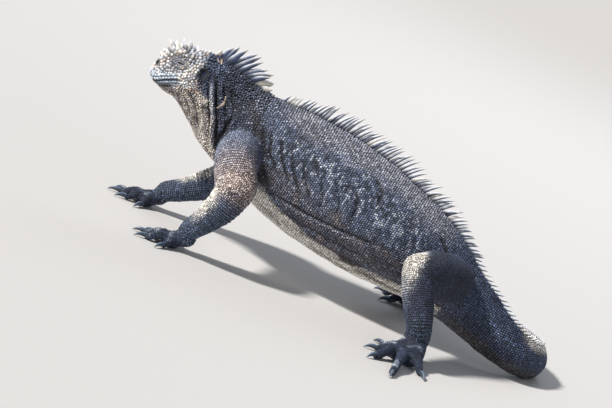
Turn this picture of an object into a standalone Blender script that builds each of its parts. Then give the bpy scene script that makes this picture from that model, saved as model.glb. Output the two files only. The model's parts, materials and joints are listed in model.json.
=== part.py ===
"""Marine iguana, an adult male of about 37 cm snout to vent, basking with its chest raised.

Metres, +Z up. The animal faces -X and its left side faces -Y. All feet, the claws and the curled
tail rest on the floor at z = 0, and the origin is on the floor under the middle of its outline.
"""

import math
import random

import bmesh
import bpy
from mathutils import Matrix, Vector

GAP = 0.0003  # clearance between two nodes that meet face to face
ROOT_GAP = 0.0007  # clearance round the trunk where a limb comes out of it
SEED = 7
BODY_SIDES = 24
TAIL_SIDES = 12
LIMB_SIDES = 12
DIGIT_SIDES = 6
RING_STEP = 0.016  # distance between two rings of the trunk

# The trunk is a loft through upright sections. Each row gives the point on the back (x, z), the
# point on the belly (x, z), the half width, how much the section narrows towards the back, and
# how much it narrows towards the belly.
SECTIONS = [
    ("snout tip", (-0.1950, 0.1430), (-0.1925, 0.1335), 0.0070, 0.00, 0.00),
    ("lips", (-0.1935, 0.1490), (-0.1880, 0.1300), 0.0130, 0.02, 0.05),
    ("nostrils", (-0.1918, 0.1572), (-0.1820, 0.1280), 0.0168, 0.04, 0.10),
    ("forehead", (-0.1862, 0.1660), (-0.1735, 0.1262), 0.0196, 0.02, 0.15),
    ("brow", (-0.1775, 0.1728), (-0.1640, 0.1248), 0.0222, -0.06, 0.20),
    ("temple", (-0.1658, 0.1770), (-0.1545, 0.1190), 0.0246, -0.08, 0.25),
    ("jaw joint", (-0.1518, 0.1798), (-0.1425, 0.1095), 0.0266, 0.00, 0.36),
    ("nape", (-0.1385, 0.1803), (-0.1285, 0.0970), 0.0266, 0.14, 0.48),
    ("upper neck", (-0.1240, 0.1784), (-0.1160, 0.0884), 0.0262, 0.32, 0.52),
    ("throat", (-0.1090, 0.1744), (-0.1040, 0.0818), 0.0275, 0.34, 0.46),
    ("lower neck", (-0.0920, 0.1700), (-0.0895, 0.0745), 0.0320, 0.32, 0.30),
    ("shoulders", (-0.0730, 0.1670), (-0.0755, 0.0665), 0.0385, 0.30, 0.14),
    ("chest", (-0.0490, 0.1668), (-0.0560, 0.0600), 0.0440, 0.30, 0.05),
    ("ribs", (-0.0210, 0.1663), (-0.0330, 0.0520), 0.0490, 0.30, 0.00),
    ("flank", (0.0080, 0.1640), (-0.0090, 0.0455), 0.0530, 0.30, 0.00),
    ("mid trunk", (0.0380, 0.1585), (0.0180, 0.0400), 0.0555, 0.30, 0.00),
    ("belly", (0.0680, 0.1515), (0.0460, 0.0362), 0.0560, 0.30, 0.00),
    ("loin", (0.0970, 0.1415), (0.0740, 0.0338), 0.0540, 0.32, 0.02),
    ("pelvis", (0.1230, 0.1315), (0.1000, 0.0335), 0.0480, 0.34, 0.06),
    ("hips", (0.1470, 0.1195), (0.1260, 0.0330), 0.0400, 0.36, 0.10),
    ("vent", (0.1690, 0.1045), (0.1505, 0.0300), 0.0325, 0.38, 0.14),
]

# The tail leaves the vent straight, comes down to the floor, sweeps round behind the body and
# lies along its far side. Its length is measured on the floor plan from TAIL_START_X.
TAIL_START_X = 0.1900
TAIL_LENGTH = 0.500
TAIL_TURNS = [  # (length of the stretch, degrees turned to the animal's right)
    (0.033, 0.0),
    (0.120, 120.0),
    (0.110, 12.0),
    (0.105, 46.0),
    (0.132, -22.0),
]
TAIL_STATIONS = [  # distance, top, underside, half width, lag of the underside
    (0.000, 0.0885, 0.0260, 0.0265, 0.0170),
    (0.022, 0.0740, 0.0190, 0.0215, 0.0150),
    (0.044, 0.0590, 0.0120, 0.0176, 0.0120),
    (0.066, 0.0475, 0.0055, 0.0146, 0.0080),
    (0.090, 0.0395, 0.0008, 0.0124, 0.0030),
    (0.120, 0.0350, -0.0012, 0.0108, 0.0000),
    (0.160, 0.0325, -0.0012, 0.0096, 0.0000),
    (0.210, 0.0290, -0.0010, 0.0085, 0.0000),
    (0.260, 0.0250, -0.0010, 0.0074, 0.0000),
    (0.310, 0.0205, -0.0008, 0.0063, 0.0000),
    (0.360, 0.0160, -0.0008, 0.0052, 0.0000),
    (0.410, 0.0115, -0.0006, 0.0040, 0.0000),
    (0.455, 0.0080, -0.0005, 0.0030, 0.0000),
    (0.485, 0.0054, -0.0004, 0.0022, 0.0000),
    (0.500, 0.0036, -0.0003, 0.0014, 0.0000),
]
TAIL_ROOF = 0.45
TAIL_KEEL = 0.20

# Where the whole trunk and tail are parted into nodes, as section numbers. Tail stations follow
# the trunk's sections in the same count.
CUTS = [
    ("head", 0, 7),
    ("neck", 7, 10),
    ("torso_front", 10, 15),
    ("torso_rear", 15, 20),
    ("tail_root", 20, 23),
    ("tail_bend_front", 23, 25),
    ("tail_bend_back", 25, 27),
    ("tail_middle", 27, 30),
    ("tail_end", 30, 32.5),
    ("tail_tip", 32.5, 35),
]

# Head details, on the left side; the right side mirrors them.
EYE_CENTRE = Vector((-0.1697, -0.0142, 0.1625))
EYE_RADIUS = 0.0062
LID_SIZE = (0.0092, 0.0054, 0.0074)  # half length, how far it stands out, half height
LID_OPENING = (0.0050, 0.0024)  # half length and half height of the open eye
NOSTRIL_CENTRE = Vector((-0.1908, -0.0090, 0.1500))
NOSTRIL_SIZE = (0.0016, 0.0022, 0.0024)
EAR_CENTRE = Vector((-0.1441, -0.0225, 0.1600))
EAR_RADIUS = 0.0050
MOUTH_FRONT = Vector((-0.1930, 0.0, 0.1335))
MOUTH_LINE = [  # x, z, from beside the front of the snout to the corner of the mouth
    (-0.1895, 0.1330),
    (-0.1830, 0.1355),
    (-0.1750, 0.1398),
    (-0.1680, 0.1440),
    (-0.1632, 0.1470),
]
MOUTH_DEPTH = 0.0013
MOUTH_GAP = 0.0009
LIP_RADIUS = 0.0014
LIP_OFFSET = 0.0021  # from the mouth line to the middle of each lip
NOSTRIL_RIM = 0.0034

# Cone-shaped scales on the crown and snout.
TUBERCLE_ROWS = 7
TUBERCLE_RADIUS = 0.0035
TUBERCLE_HEIGHT = 0.0036

# Spines of the crest: lengths along the neck, the back and the tail.
NAPE_SPINES = [0.009, 0.016, 0.022, 0.024, 0.026, 0.027, 0.026, 0.025, 0.022, 0.018, 0.014]
BACK_SPINES = 40
BACK_SPINE_LENGTHS = (0.010, 0.0175, 0.0165, 0.0150, 0.0120, 0.0095)
TAIL_SPINES = 36
TAIL_SPINE_LENGTHS = (0.0090, 0.0072, 0.0060, 0.0042, 0.0024)

# Limbs of the left side: centre and radius from the root, deep in the body, down to the wrist
# or ankle. The first number of JOINTS is the station of the elbow or knee.
ARM_LEFT = [
    ((-0.0760, -0.0120, 0.1100), 0.0180),
    ((-0.0800, -0.0360, 0.1080), 0.0225),
    ((-0.0780, -0.0580, 0.0990), 0.0215),
    ((-0.0685, -0.0740, 0.0820), 0.0205),
    ((-0.0730, -0.0765, 0.0610), 0.0172),
    ((-0.0835, -0.0735, 0.0400), 0.0138),
    ((-0.0940, -0.0690, 0.0225), 0.0110),
]
ARM_RIGHT = [
    ((-0.0760, 0.0120, 0.1100), 0.0180),
    ((-0.0830, 0.0340, 0.1040), 0.0225),
    ((-0.0825, 0.0500, 0.0850), 0.0212),
    ((-0.0820, 0.0600, 0.0600), 0.0192),
    ((-0.1000, 0.0600, 0.0440), 0.0158),
    ((-0.1200, 0.0560, 0.0300), 0.0128),
    ((-0.1380, 0.0520, 0.0200), 0.0106),
]
LEG_LEFT = [
    ((0.1660, -0.0060, 0.0720), 0.0190),
    ((0.1600, -0.0330, 0.0760), 0.0235),
    ((0.1430, -0.0610, 0.0830), 0.0215),
    ((0.1280, -0.0840, 0.0830), 0.0180),
    ((0.1340, -0.0925, 0.0660), 0.0165),
    ((0.1420, -0.0985, 0.0500), 0.0150),
    ((0.1490, -0.1030, 0.0350), 0.0132),
]
LEG_RIGHT = [
    ((0.1640, 0.0060, 0.0720), 0.0190),
    ((0.1560, 0.0330, 0.0760), 0.0235),
    ((0.1370, 0.0600, 0.0830), 0.0215),
    ((0.1210, 0.0820, 0.0830), 0.0180),
    ((0.1270, 0.0910, 0.0660), 0.0165),
    ((0.1350, 0.0975, 0.0500), 0.0150),
    ((0.1420, 0.1020, 0.0350), 0.0132),
]
JOINT_STATION = 3  # the elbow or the knee

# Hands and feet. A palm is a row of centres with half width and half height, from inside the
# wrist or ankle to the roots of the digits. A digit has its root, the point on the floor where
# its claw ends (x, y), how high it arches, and its radius.
PALM_ARM_LEFT = [
    ((-0.0930, -0.0685, 0.0160), 0.0095, 0.0080),
    ((-0.1010, -0.0680, 0.0098), 0.0125, 0.0100),
    ((-0.1090, -0.0680, 0.0076), 0.0140, 0.0088),
    ((-0.1150, -0.0680, 0.0072), 0.0100, 0.0055),
]
DIGITS_ARM_LEFT = [
    ((-0.1040, -0.0590, 0.0090), (-0.1170, -0.0370), 0.0120, 0.0050),
    ((-0.1110, -0.0620, 0.0090), (-0.1370, -0.0500), 0.0150, 0.0053),
    ((-0.1130, -0.0680, 0.0095), (-0.1460, -0.0680), 0.0160, 0.0054),
    ((-0.1110, -0.0740, 0.0090), (-0.1420, -0.0870), 0.0150, 0.0053),
    ((-0.1050, -0.0775, 0.0085), (-0.1180, -0.1000), 0.0120, 0.0050),
]
PALM_ARM_RIGHT = [
    ((-0.1380, 0.0520, 0.0150), 0.0095, 0.0080),
    ((-0.1460, 0.0510, 0.0098), 0.0125, 0.0100),
    ((-0.1540, 0.0500, 0.0076), 0.0140, 0.0088),
    ((-0.1600, 0.0495, 0.0072), 0.0100, 0.0055),
]
DIGITS_ARM_RIGHT = [
    ((-0.1490, 0.0410, 0.0090), (-0.1590, 0.0190), 0.0120, 0.0050),
    ((-0.1560, 0.0440, 0.0090), (-0.1820, 0.0310), 0.0150, 0.0053),
    ((-0.1580, 0.0495, 0.0095), (-0.1920, 0.0480), 0.0160, 0.0054),
    ((-0.1560, 0.0555, 0.0090), (-0.1870, 0.0670), 0.0150, 0.0053),
    ((-0.1500, 0.0590, 0.0085), (-0.1640, 0.0810), 0.0120, 0.0050),
]
PALM_LEG_LEFT = [
    ((0.1520, -0.0960, 0.0200), 0.0120, 0.0120),
    ((0.1510, -0.1060, 0.0160), 0.0155, 0.0135),
    ((0.1475, -0.1170, 0.0106), 0.0180, 0.0118),
    ((0.1430, -0.1250, 0.0088), 0.0150, 0.0075),
]
DIGITS_LEG_LEFT = [
    ((0.1380, -0.1050, 0.0120), (0.1140, -0.0840), 0.0145, 0.0056),
    ((0.1350, -0.1140, 0.0110), (0.1060, -0.1230), 0.0165, 0.0058),
    ((0.1370, -0.1220, 0.0105), (0.1120, -0.1570), 0.0175, 0.0060),
    ((0.1450, -0.1260, 0.0105), (0.1380, -0.1930), 0.0180, 0.0060),
    ((0.1570, -0.1180, 0.0115), (0.1720, -0.1500), 0.0155, 0.0056),
]
PALM_LEG_RIGHT = [
    ((0.1450, 0.0950, 0.0200), 0.0120, 0.0120),
    ((0.1440, 0.1050, 0.0160), 0.0155, 0.0135),
    ((0.1405, 0.1160, 0.0106), 0.0180, 0.0118),
    ((0.1360, 0.1240, 0.0088), 0.0150, 0.0075),
]
DIGITS_LEG_RIGHT = [
    ((0.1310, 0.1040, 0.0120), (0.1080, 0.0850), 0.0145, 0.0056),
    ((0.1280, 0.1130, 0.0110), (0.1000, 0.1240), 0.0165, 0.0058),
    ((0.1300, 0.1210, 0.0105), (0.1040, 0.1560), 0.0175, 0.0060),
    ((0.1380, 0.1250, 0.0105), (0.1300, 0.1850), 0.0180, 0.0060),
    ((0.1500, 0.1170, 0.0115), (0.1650, 0.1510), 0.0155, 0.0056),
]
CLAW_LENGTH = 0.0130
CLAW_RADIUS = 0.0025

# Colours: linear red, green, blue.
GREY_SKIN = (0.10, 0.10, 0.105, 1.0)
PALE_HEAD = (0.42, 0.40, 0.34, 1.0)
DARK_CLAW = (0.03, 0.03, 0.035, 1.0)
DARK_EYE = (0.02, 0.015, 0.01, 1.0)


def clear_scene():
    for item in list(bpy.data.objects):
        bpy.data.objects.remove(item, do_unlink=True)


def material(name, colour, roughness):
    made = bpy.data.materials.new(name)
    made.use_nodes = True
    shader = made.node_tree.nodes["Principled BSDF"]
    shader.inputs["Base Color"].default_value = colour
    shader.inputs["Roughness"].default_value = roughness
    shader.inputs["Metallic"].default_value = 0.0
    return made


def spline(values, place):
    """The smooth curve through values, numbers or vectors, at a place counted in values."""
    last = len(values) - 1
    i = min(int(place), last - 1)
    f = place - i
    before = values[max(i - 1, 0)]
    here = values[i]
    there = values[i + 1]
    after = values[min(i + 2, last)]
    slope_here = (there - before) * 0.5
    slope_there = (after - here) * 0.5
    return (
        here * (2 * f**3 - 3 * f**2 + 1)
        + slope_here * (f**3 - 2 * f**2 + f)
        + there * (3 * f**2 - 2 * f**3)
        + slope_there * (f**3 - f**2)
    )


def tail_plan(distance):
    """The tail's place and heading on the floor plan, a distance from its start."""
    x, y, heading = TAIL_START_X, 0.0, 0.0
    left = distance
    for length, degrees in TAIL_TURNS:
        step = min(left, length)
        turn = math.radians(degrees) * step / length
        if abs(turn) < 1e-6:
            x += step * math.cos(heading)
            y += step * math.sin(heading)
        else:
            radius = step / turn
            x += radius * (math.sin(heading + turn) - math.sin(heading))
            y += radius * (math.cos(heading) - math.cos(heading + turn))
        heading += turn
        left -= step
        if left <= 0.0:
            break
    x += max(left, 0.0) * math.cos(heading)
    y += max(left, 0.0) * math.sin(heading)
    return x, y, heading


def trunk_stations():
    """Every section from the snout to the tip of the tail, with its upper and lower points."""
    stations = []
    for _, back, belly, half_width, roof, keel in SECTIONS:
        stations.append(
            {
                "top": Vector((back[0], 0.0, back[1])),
                "bottom": Vector((belly[0], 0.0, belly[1])),
                "side": Vector((0.0, 1.0, 0.0)),
                "shape": Vector((half_width, roof, keel)),
            }
        )
    for distance, top, underside, half_width, lag in TAIL_STATIONS:
        x, y, heading = tail_plan(distance)
        forward = Vector((math.cos(heading), math.sin(heading), 0.0))
        stations.append(
            {
                "top": Vector((x, y, top)),
                "bottom": Vector((x, y, underside)) - forward * lag,
                "side": Vector((-forward.y, forward.x, 0.0)),
                "shape": Vector((half_width, TAIL_ROOF, TAIL_KEEL)),
            }
        )
    return stations


STATIONS = trunk_stations()


def section_at(place):
    """The section at a place counted in stations: top, bottom, side and shape."""
    top = spline([s["top"] for s in STATIONS], place)
    bottom = spline([s["bottom"] for s in STATIONS], place)
    side = spline([s["side"] for s in STATIONS], place)
    up = (top - bottom).normalized()
    side = (side - up * side.dot(up)).normalized()
    return top, bottom, side, spline([s["shape"] for s in STATIONS], place)


def section_ring(place, sides, shift=0.0, grow=0.0):
    """Points round the section, from the back over the right side, moved along the body."""
    top, bottom, side, shape = section_at(place)
    centre = (top + bottom) * 0.5
    up = (top - bottom).normalized()
    along = side.cross(up)
    half_height = (top - bottom).length * 0.5 + grow
    half_width = shape.x + grow
    ring = []
    for k in range(sides):
        angle = 2.0 * math.pi * k / sides
        rise = math.cos(angle)
        reach = math.sin(angle)
        narrow = 1.0 - shape.y * max(rise, 0.0) ** 1.4 - shape.z * max(-rise, 0.0) ** 1.4
        ring.append(
            centre + up * (rise * half_height) + side * (reach * half_width * narrow) + along * shift
        )
    return ring


def along_of(place):
    top, bottom, side, _ = section_at(place)
    return side.cross((top - bottom).normalized())


def loft(name, rings):
    """A closed mesh object through rings of equal count, with a flat face over each end."""
    mesh = bmesh.new()
    loops = [[mesh.verts.new(point) for point in ring] for ring in rings]
    for near, far in zip(loops, loops[1:]):
        for i in range(len(near)):
            j = (i + 1) % len(near)
            mesh.faces.new((near[i], near[j], far[j], far[i]))
    mesh.faces.new(list(reversed(loops[0])))
    mesh.faces.new(loops[-1])
    bmesh.ops.recalc_face_normals(mesh, faces=mesh.faces)
    data = bpy.data.meshes.new(name)
    mesh.to_mesh(data)
    mesh.free()
    made = bpy.data.objects.new(name, data)
    bpy.context.scene.collection.objects.link(made)
    return made


def replace_mesh(target, data):
    old = target.data
    target.modifiers.clear()
    target.data = data
    bpy.data.meshes.remove(old)
    data.name = target.name


def evaluated_mesh(target):
    bpy.context.view_layer.update()
    graph = bpy.context.evaluated_depsgraph_get()
    return bpy.data.meshes.new_from_object(target.evaluated_get(graph))


def combine(target, pieces, operation, solver="EXACT"):
    """Joins the pieces to the target or cuts them from it, and removes them."""
    group = bpy.data.collections.new("pieces of " + target.name)
    bpy.context.scene.collection.children.link(group)
    for piece in pieces:
        bpy.context.scene.collection.objects.unlink(piece)
        group.objects.link(piece)
    step = target.modifiers.new(operation.lower(), "BOOLEAN")
    step.operation = operation
    step.operand_type = "COLLECTION"
    step.collection = group
    step.solver = solver
    replace_mesh(target, evaluated_mesh(target))
    for piece in pieces:
        data = piece.data
        bpy.data.objects.remove(piece)
        bpy.data.meshes.remove(data)
    bpy.data.collections.remove(group)


def keep_largest(target):
    """Drops every closed surface of the node but the largest."""
    mesh = bmesh.new()
    mesh.from_mesh(target.data)
    unseen = set(mesh.verts)
    islands = []
    while unseen:
        found = [unseen.pop()]
        for vert in found:
            for edge in vert.link_edges:
                other = edge.other_vert(vert)
                if other in unseen:
                    unseen.remove(other)
                    found.append(other)
        islands.append(found)
    islands.sort(key=lambda found: sum(edge.calc_length() for v in found for edge in v.link_edges))
    for island in islands[:-1]:
        bmesh.ops.delete(mesh, geom=island, context="VERTS")
    bmesh.ops.dissolve_degenerate(mesh, dist=1e-6, edges=mesh.edges)
    mesh.to_mesh(target.data)
    mesh.free()


def trim(target, point, outward):
    """Cuts off what lies beyond a plane and closes the flat that is left."""
    mesh = bmesh.new()
    mesh.from_mesh(target.data)
    bmesh.ops.bisect_plane(
        mesh,
        geom=mesh.verts[:] + mesh.edges[:] + mesh.faces[:],
        dist=1e-7,
        plane_co=point,
        plane_no=outward,
        clear_outer=True,
    )
    rim = [edge for edge in mesh.edges if edge.is_boundary]
    bmesh.ops.holes_fill(mesh, edges=rim, sides=0)
    bmesh.ops.recalc_face_normals(mesh, faces=mesh.faces)
    mesh.to_mesh(target.data)
    mesh.free()


def settle(target):
    """Cuts off what is below the floor, which leaves small flats to stand on."""
    trim(target, (0.0, 0.0, 0.0), (0.0, 0.0, -1.0))


def trunk_piece(name, first, last, sides):
    """One length of the trunk or tail, between two section numbers."""
    count = max(2, round(dorsal_length(first, last) / RING_STEP))
    rings = []
    for i in range(count + 1):
        place = first + (last - first) * i / count
        shift = 0.0
        if i == 0 and first > 0:
            shift = GAP / 2
        if i == count and last < len(STATIONS) - 1:
            shift = -GAP / 2
        rings.append(section_ring(place, sides, shift))
    return loft(name, rings)


def dorsal_length(first, last, steps=60):
    points = [section_at(first + (last - first) * i / steps)[0] for i in range(steps + 1)]
    return sum((b - a).length for a, b in zip(points, points[1:]))


def dorsal_place(first, last, share, steps=120):
    """The place, counted in stations, at a share of the back's length between two sections."""
    points = [section_at(first + (last - first) * i / steps)[0] for i in range(steps + 1)]
    lengths = [0.0]
    for a, b in zip(points, points[1:]):
        lengths.append(lengths[-1] + (b - a).length)
    wanted = share * lengths[-1]
    for i in range(steps):
        if lengths[i + 1] >= wanted:
            part = (wanted - lengths[i]) / (lengths[i + 1] - lengths[i])
            return first + (last - first) * (i + part) / steps
    return last


def body_as_cutter(name):
    """The whole trunk, a little larger than itself, to cut the limbs' roots to its surface."""
    count = 70
    last = 24
    rings = [section_ring(last * i / count, BODY_SIDES, 0.0, ROOT_GAP) for i in range(count + 1)]
    return loft(name, rings)


def frames_along(points):
    """A direction and two cross directions at each point of a path, without twist."""
    frames = []
    side = None
    for i, point in enumerate(points):
        before = points[max(i - 1, 0)]
        after = points[min(i + 1, len(points) - 1)]
        direction = (after - before).normalized()
        if side is None:
            side = direction.orthogonal().normalized()
        side = (side - direction * side.dot(direction)).normalized()
        frames.append((direction, side, direction.cross(side)))
    return frames


def tube_rings(points, radii, sides, squash=1.0):
    """Rings round a path. squash below 1 makes them lower than they are wide."""
    rings = []
    for point, radius, (direction, _, _) in zip(points, radii, frames_along(points)):
        level = Vector((0.0, 0.0, 1.0)).cross(direction)
        if level.length < 0.2:
            level = Vector((0.0, 1.0, 0.0))
        level = (level - direction * level.dot(direction)).normalized()
        above = direction.cross(level)
        rings.append(
            [
                point
                + level * (radius * math.cos(2 * math.pi * k / sides))
                + above * (radius * squash * math.sin(2 * math.pi * k / sides))
                for k in range(sides)
            ]
        )
    return rings


def limb_rings(stations, steps_between, grow=0.0):
    """Rings round one length of a limb, between two joints."""
    centres = [Vector(centre) for centre, _ in stations]
    radii = [radius + grow for _, radius in stations]
    count = (len(stations) - 1) * steps_between
    points = [spline(centres, i / steps_between) for i in range(count + 1)]
    sizes = [spline(radii, i / steps_between) for i in range(count + 1)]
    rings = []
    for point, size, (_, side, above) in zip(points, sizes, frames_along(points)):
        rings.append(
            [
                point
                + side * (size * math.cos(2 * math.pi * k / LIMB_SIDES))
                + above * (size * math.sin(2 * math.pi * k / LIMB_SIDES))
                for k in range(LIMB_SIDES)
            ]
        )
    return rings


def round_cap(ring, outward, fullness=1.0):
    """Rings that close a limb with a dome beyond its last ring."""
    radius = (ring[0] - middle(ring)).length
    return [
        scaled(ring, factor * fullness, outward * (radius * reach * fullness))
        for factor, reach in ((0.87, 0.50), (0.55, 0.84), (0.18, 0.99))
    ]


def shifted(ring, distance):
    """The ring moved along its own normal."""
    a = ring[len(ring) // 3] - ring[0]
    b = ring[2 * len(ring) // 3] - ring[0]
    normal = a.cross(b).normalized()
    return [point + normal * distance for point in ring]


def facing(ring, towards):
    a = ring[len(ring) // 3] - ring[0]
    b = ring[2 * len(ring) // 3] - ring[0]
    return 1.0 if a.cross(b).dot(towards) > 0 else -1.0


def limb(names, stations, palm, digits):
    """The upper and lower limb, the hand or foot with its digits, and the claws."""
    steps = 3
    first = stations[: JOINT_STATION + 1]
    rings = limb_rings(first, steps)
    out = (middle(rings[-1]) - middle(rings[-2])).normalized()
    upper = loft(names[0], rings + round_cap(rings[-1], out))
    combine(upper, [body_as_cutter("trunk cutter")], "DIFFERENCE")
    keep_largest(upper)
    grown = limb_rings(first, steps, GAP)
    socket = loft("socket", grown + round_cap(grown[-1], out))
    rings = limb_rings(stations[JOINT_STATION:], steps)
    back = (middle(rings[0]) - middle(rings[1])).normalized()
    ahead = (middle(rings[-1]) - middle(rings[-2])).normalized()
    sense = facing(rings[-1], ahead)
    lower = loft(
        names[1],
        list(reversed(round_cap(rings[0], back, 0.9)))
        + rings[:-1]
        + [shifted(rings[-1], -sense * GAP / 2)],
    )
    combine(lower, [socket], "DIFFERENCE")
    keep_largest(lower)
    start = shifted(rings[-1], sense * GAP / 2)
    hand, claws = foot(names[2], start, ahead, palm, digits)
    return [upper, lower, hand] + claws


def middle(ring):
    return sum(ring, Vector()) / len(ring)


def scaled(ring, factor, move):
    hub = middle(ring)
    return [hub + (point - hub) * factor + move for point in ring]


def foot(name, start, ahead, palm, digits):
    """A hand or foot: a stub under the wrist, a flat palm, and five digits arched to the floor."""
    depth = (middle(start) - Vector(palm[0][0])).length + palm[0][2]
    stub = [
        start,
        scaled(start, 0.98, ahead * depth * 0.35),
        scaled(start, 0.86, ahead * depth * 0.70),
        scaled(start, 0.45, ahead * depth * 1.0),
    ]
    hand = loft(name, stub)
    centres = [Vector(centre) for centre, _, _ in palm]
    widths = [width for _, width, _ in palm]
    heights = [height for _, _, height in palm]
    rings = []
    for i in range(2 * len(palm) - 1):
        centre = spline(centres, i / 2)
        flat = centres[-1] - centres[0]
        flat.z = 0.0
        flat.normalize()
        across = Vector((-flat.y, flat.x, 0.0))
        rings.append(
            [
                centre
                + across * (spline(widths, i / 2) * math.cos(2 * math.pi * k / LIMB_SIDES))
                + Vector((0, 0, 1)) * (spline(heights, i / 2) * math.sin(2 * math.pi * k / LIMB_SIDES))
                for k in range(LIMB_SIDES)
            ]
        )
    pieces = [loft("palm", rings)]
    claws = []
    for number, digit in enumerate(digits, start=1):
        finger, claw = digit_and_claw(name, number, digit)
        pieces.append(finger)
        claws.append(claw)
    for piece in pieces:
        trim(piece, middle(start) + ahead * (2 * GAP), -ahead)
    combine(hand, pieces, "UNION")
    keep_largest(hand)
    settle(hand)
    return hand, claws


def digit_and_claw(name, number, digit):
    """One digit, arched from the palm to the floor, and the claw at its end."""
    root, tip, arch, radius = digit
    root = Vector(root)
    touch = Vector((tip[0], tip[1], 0.0))
    flat = Vector((touch.x - root.x, touch.y - root.y, 0.0))
    flat.normalize()
    end = touch - flat * (CLAW_LENGTH * 0.88)
    end.z = radius * 0.62 * 0.9
    inner = root - flat * 0.005
    crook = root.lerp(end, 0.40)
    crook.z = arch * 0.62
    pad = root.lerp(end, 0.78)
    pad.z = radius * 0.70
    path = [inner, root, crook, pad, end]
    radii = [radius * 0.95, radius, radius * 0.90, radius * 0.78, radius * 0.62]
    points = [spline(path, i / 2) for i in (1, 3, 4, 5, 6, 7, 8)]
    sizes = [spline(radii, i / 2) for i in (1, 3, 4, 5, 6, 7, 8)]
    rings = tube_rings(points, sizes, DIGIT_SIDES, 0.95)
    finger = loft("digit", rings)
    start = shifted(rings[-1], facing(rings[-1], flat) * GAP)
    hub = middle(start)
    claw_path = [
        hub + flat * (CLAW_LENGTH * 0.34) + Vector((0.0, 0.0, 0.0012)),
        hub + flat * (CLAW_LENGTH * 0.66) + Vector((0.0, 0.0, 0.0002)),
        Vector((touch.x, touch.y, 0.0002)),
    ]
    claw_radii = [CLAW_RADIUS * 0.84, CLAW_RADIUS * 0.58, CLAW_RADIUS * 0.20]
    claw_rings = tube_rings(claw_path, claw_radii, DIGIT_SIDES, 1.15)
    claw = loft(f"{name}_claw_{number}", [scaled(start, 0.82, Vector())] + claw_rings)
    settle(claw)
    return finger, claw


def blade(root, direction, length, width, thickness, back):
    """One spine of the crest: a flat, tapered blade that curves back."""
    side = direction.cross(back).normalized()
    edge = side.cross(direction).normalized()
    if edge.dot(back) < 0:
        edge = -edge
    rings = []
    for share, wide, thick, bend in ((-0.28, 1.0, 1.0, 0.0), (0.30, 0.86, 0.80, 0.02), (0.70, 0.52, 0.52, 0.09)):
        point = root + direction * (length * share) + edge * (length * bend)
        rings.append(
            [
                point + edge * (width * wide / 2),
                point + side * (thickness * thick / 2),
                point - edge * (width * wide / 2),
                point - side * (thickness * thick / 2),
            ]
        )
    point = root + direction * length + edge * (length * 0.20)
    rings.append(
        [
            point + edge * (width * 0.07),
            point + side * (thickness * 0.12),
            point - edge * (width * 0.07),
            point - side * (thickness * 0.12),
        ]
    )
    return loft("spine", rings)


def spine_at(place, length, width, thickness, lean, tilt):
    """A spine on the midline of the back at a place, leaning back and tilted to one side."""
    top, bottom, side, _ = section_at(place)
    ahead = (section_at(place + 0.05)[0] - section_at(place - 0.05)[0]).normalized()
    up = (side.cross(ahead)).normalized()
    if up.z < 0:
        up = -up
    direction = up * math.cos(lean) + ahead * math.sin(lean)
    direction = (direction * math.cos(tilt) + side * math.sin(tilt)).normalized()
    return blade(top - up * 0.0008, direction, length, width, thickness, ahead)


def crest():
    """Every spine as (place, object), from the nape to the tip of the tail."""
    rng = random.Random(SEED)
    spines = []
    for i, length in enumerate(NAPE_SPINES):
        place = dorsal_place(6.75, 10.4, (i + 0.5) / len(NAPE_SPINES))
        lean = math.radians(14 + 12 * i / len(NAPE_SPINES))
        tilt = math.radians(rng.uniform(-7, 7))
        spines.append((place, (length, 0.0052, 0.0026, lean, tilt)))
    for i in range(BACK_SPINES):
        share = i / (BACK_SPINES - 1)
        place = dorsal_place(11.55, 20.0, share)
        length = spline(list(BACK_SPINE_LENGTHS), share * (len(BACK_SPINE_LENGTHS) - 1))
        length *= rng.uniform(0.88, 1.1)
        lean = math.radians(30 + rng.uniform(-4, 4))
        tilt = math.radians(rng.uniform(-6, 6))
        spines.append((place, (length, 0.0040, 0.0021, lean, tilt)))
    for i in range(TAIL_SPINES):
        share = i / (TAIL_SPINES - 1)
        place = dorsal_place(20.25, 34.4, share)
        length = spline(list(TAIL_SPINE_LENGTHS), share * (len(TAIL_SPINE_LENGTHS) - 1))
        length *= rng.uniform(0.9, 1.1)
        lean = math.radians(34)
        spines.append((place, (length, 0.0046 * (1 - 0.5 * share), 0.0019 * (1 - 0.45 * share), lean, 0.0)))
    return spines


def spines_between(spines, first, last):
    """The spines rooted on one node, kept clear of its ends."""
    made = []
    for place, values in spines:
        half = values[1] / 2 + 2 * GAP
        begin = section_at(first)[0] if first > 0 else None
        finish = section_at(last)[0]
        here = section_at(place)[0]
        if not first < place < last:
            continue
        if begin is not None and (here - begin).length < half * 1.15:
            continue
        if last < len(STATIONS) - 1 and (finish - here).length < half * 1.9:
            continue
        made.append(spine_at(place, *values))
    return made


def ellipsoid(name, centre, size, segments, turn=None):
    mesh = bmesh.new()
    bmesh.ops.create_uvsphere(mesh, u_segments=segments, v_segments=segments // 2, radius=1.0)
    bmesh.ops.scale(mesh, vec=size, verts=mesh.verts)
    if turn is not None:
        bmesh.ops.rotate(mesh, cent=(0, 0, 0), matrix=turn, verts=mesh.verts)
    bmesh.ops.translate(mesh, vec=centre, verts=mesh.verts)
    data = bpy.data.meshes.new(name)
    mesh.to_mesh(data)
    mesh.free()
    made = bpy.data.objects.new(name, data)
    bpy.context.scene.collection.objects.link(made)
    return made


def mirrored(point, sign):
    return Vector((point.x, point.y * sign, point.z))


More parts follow.
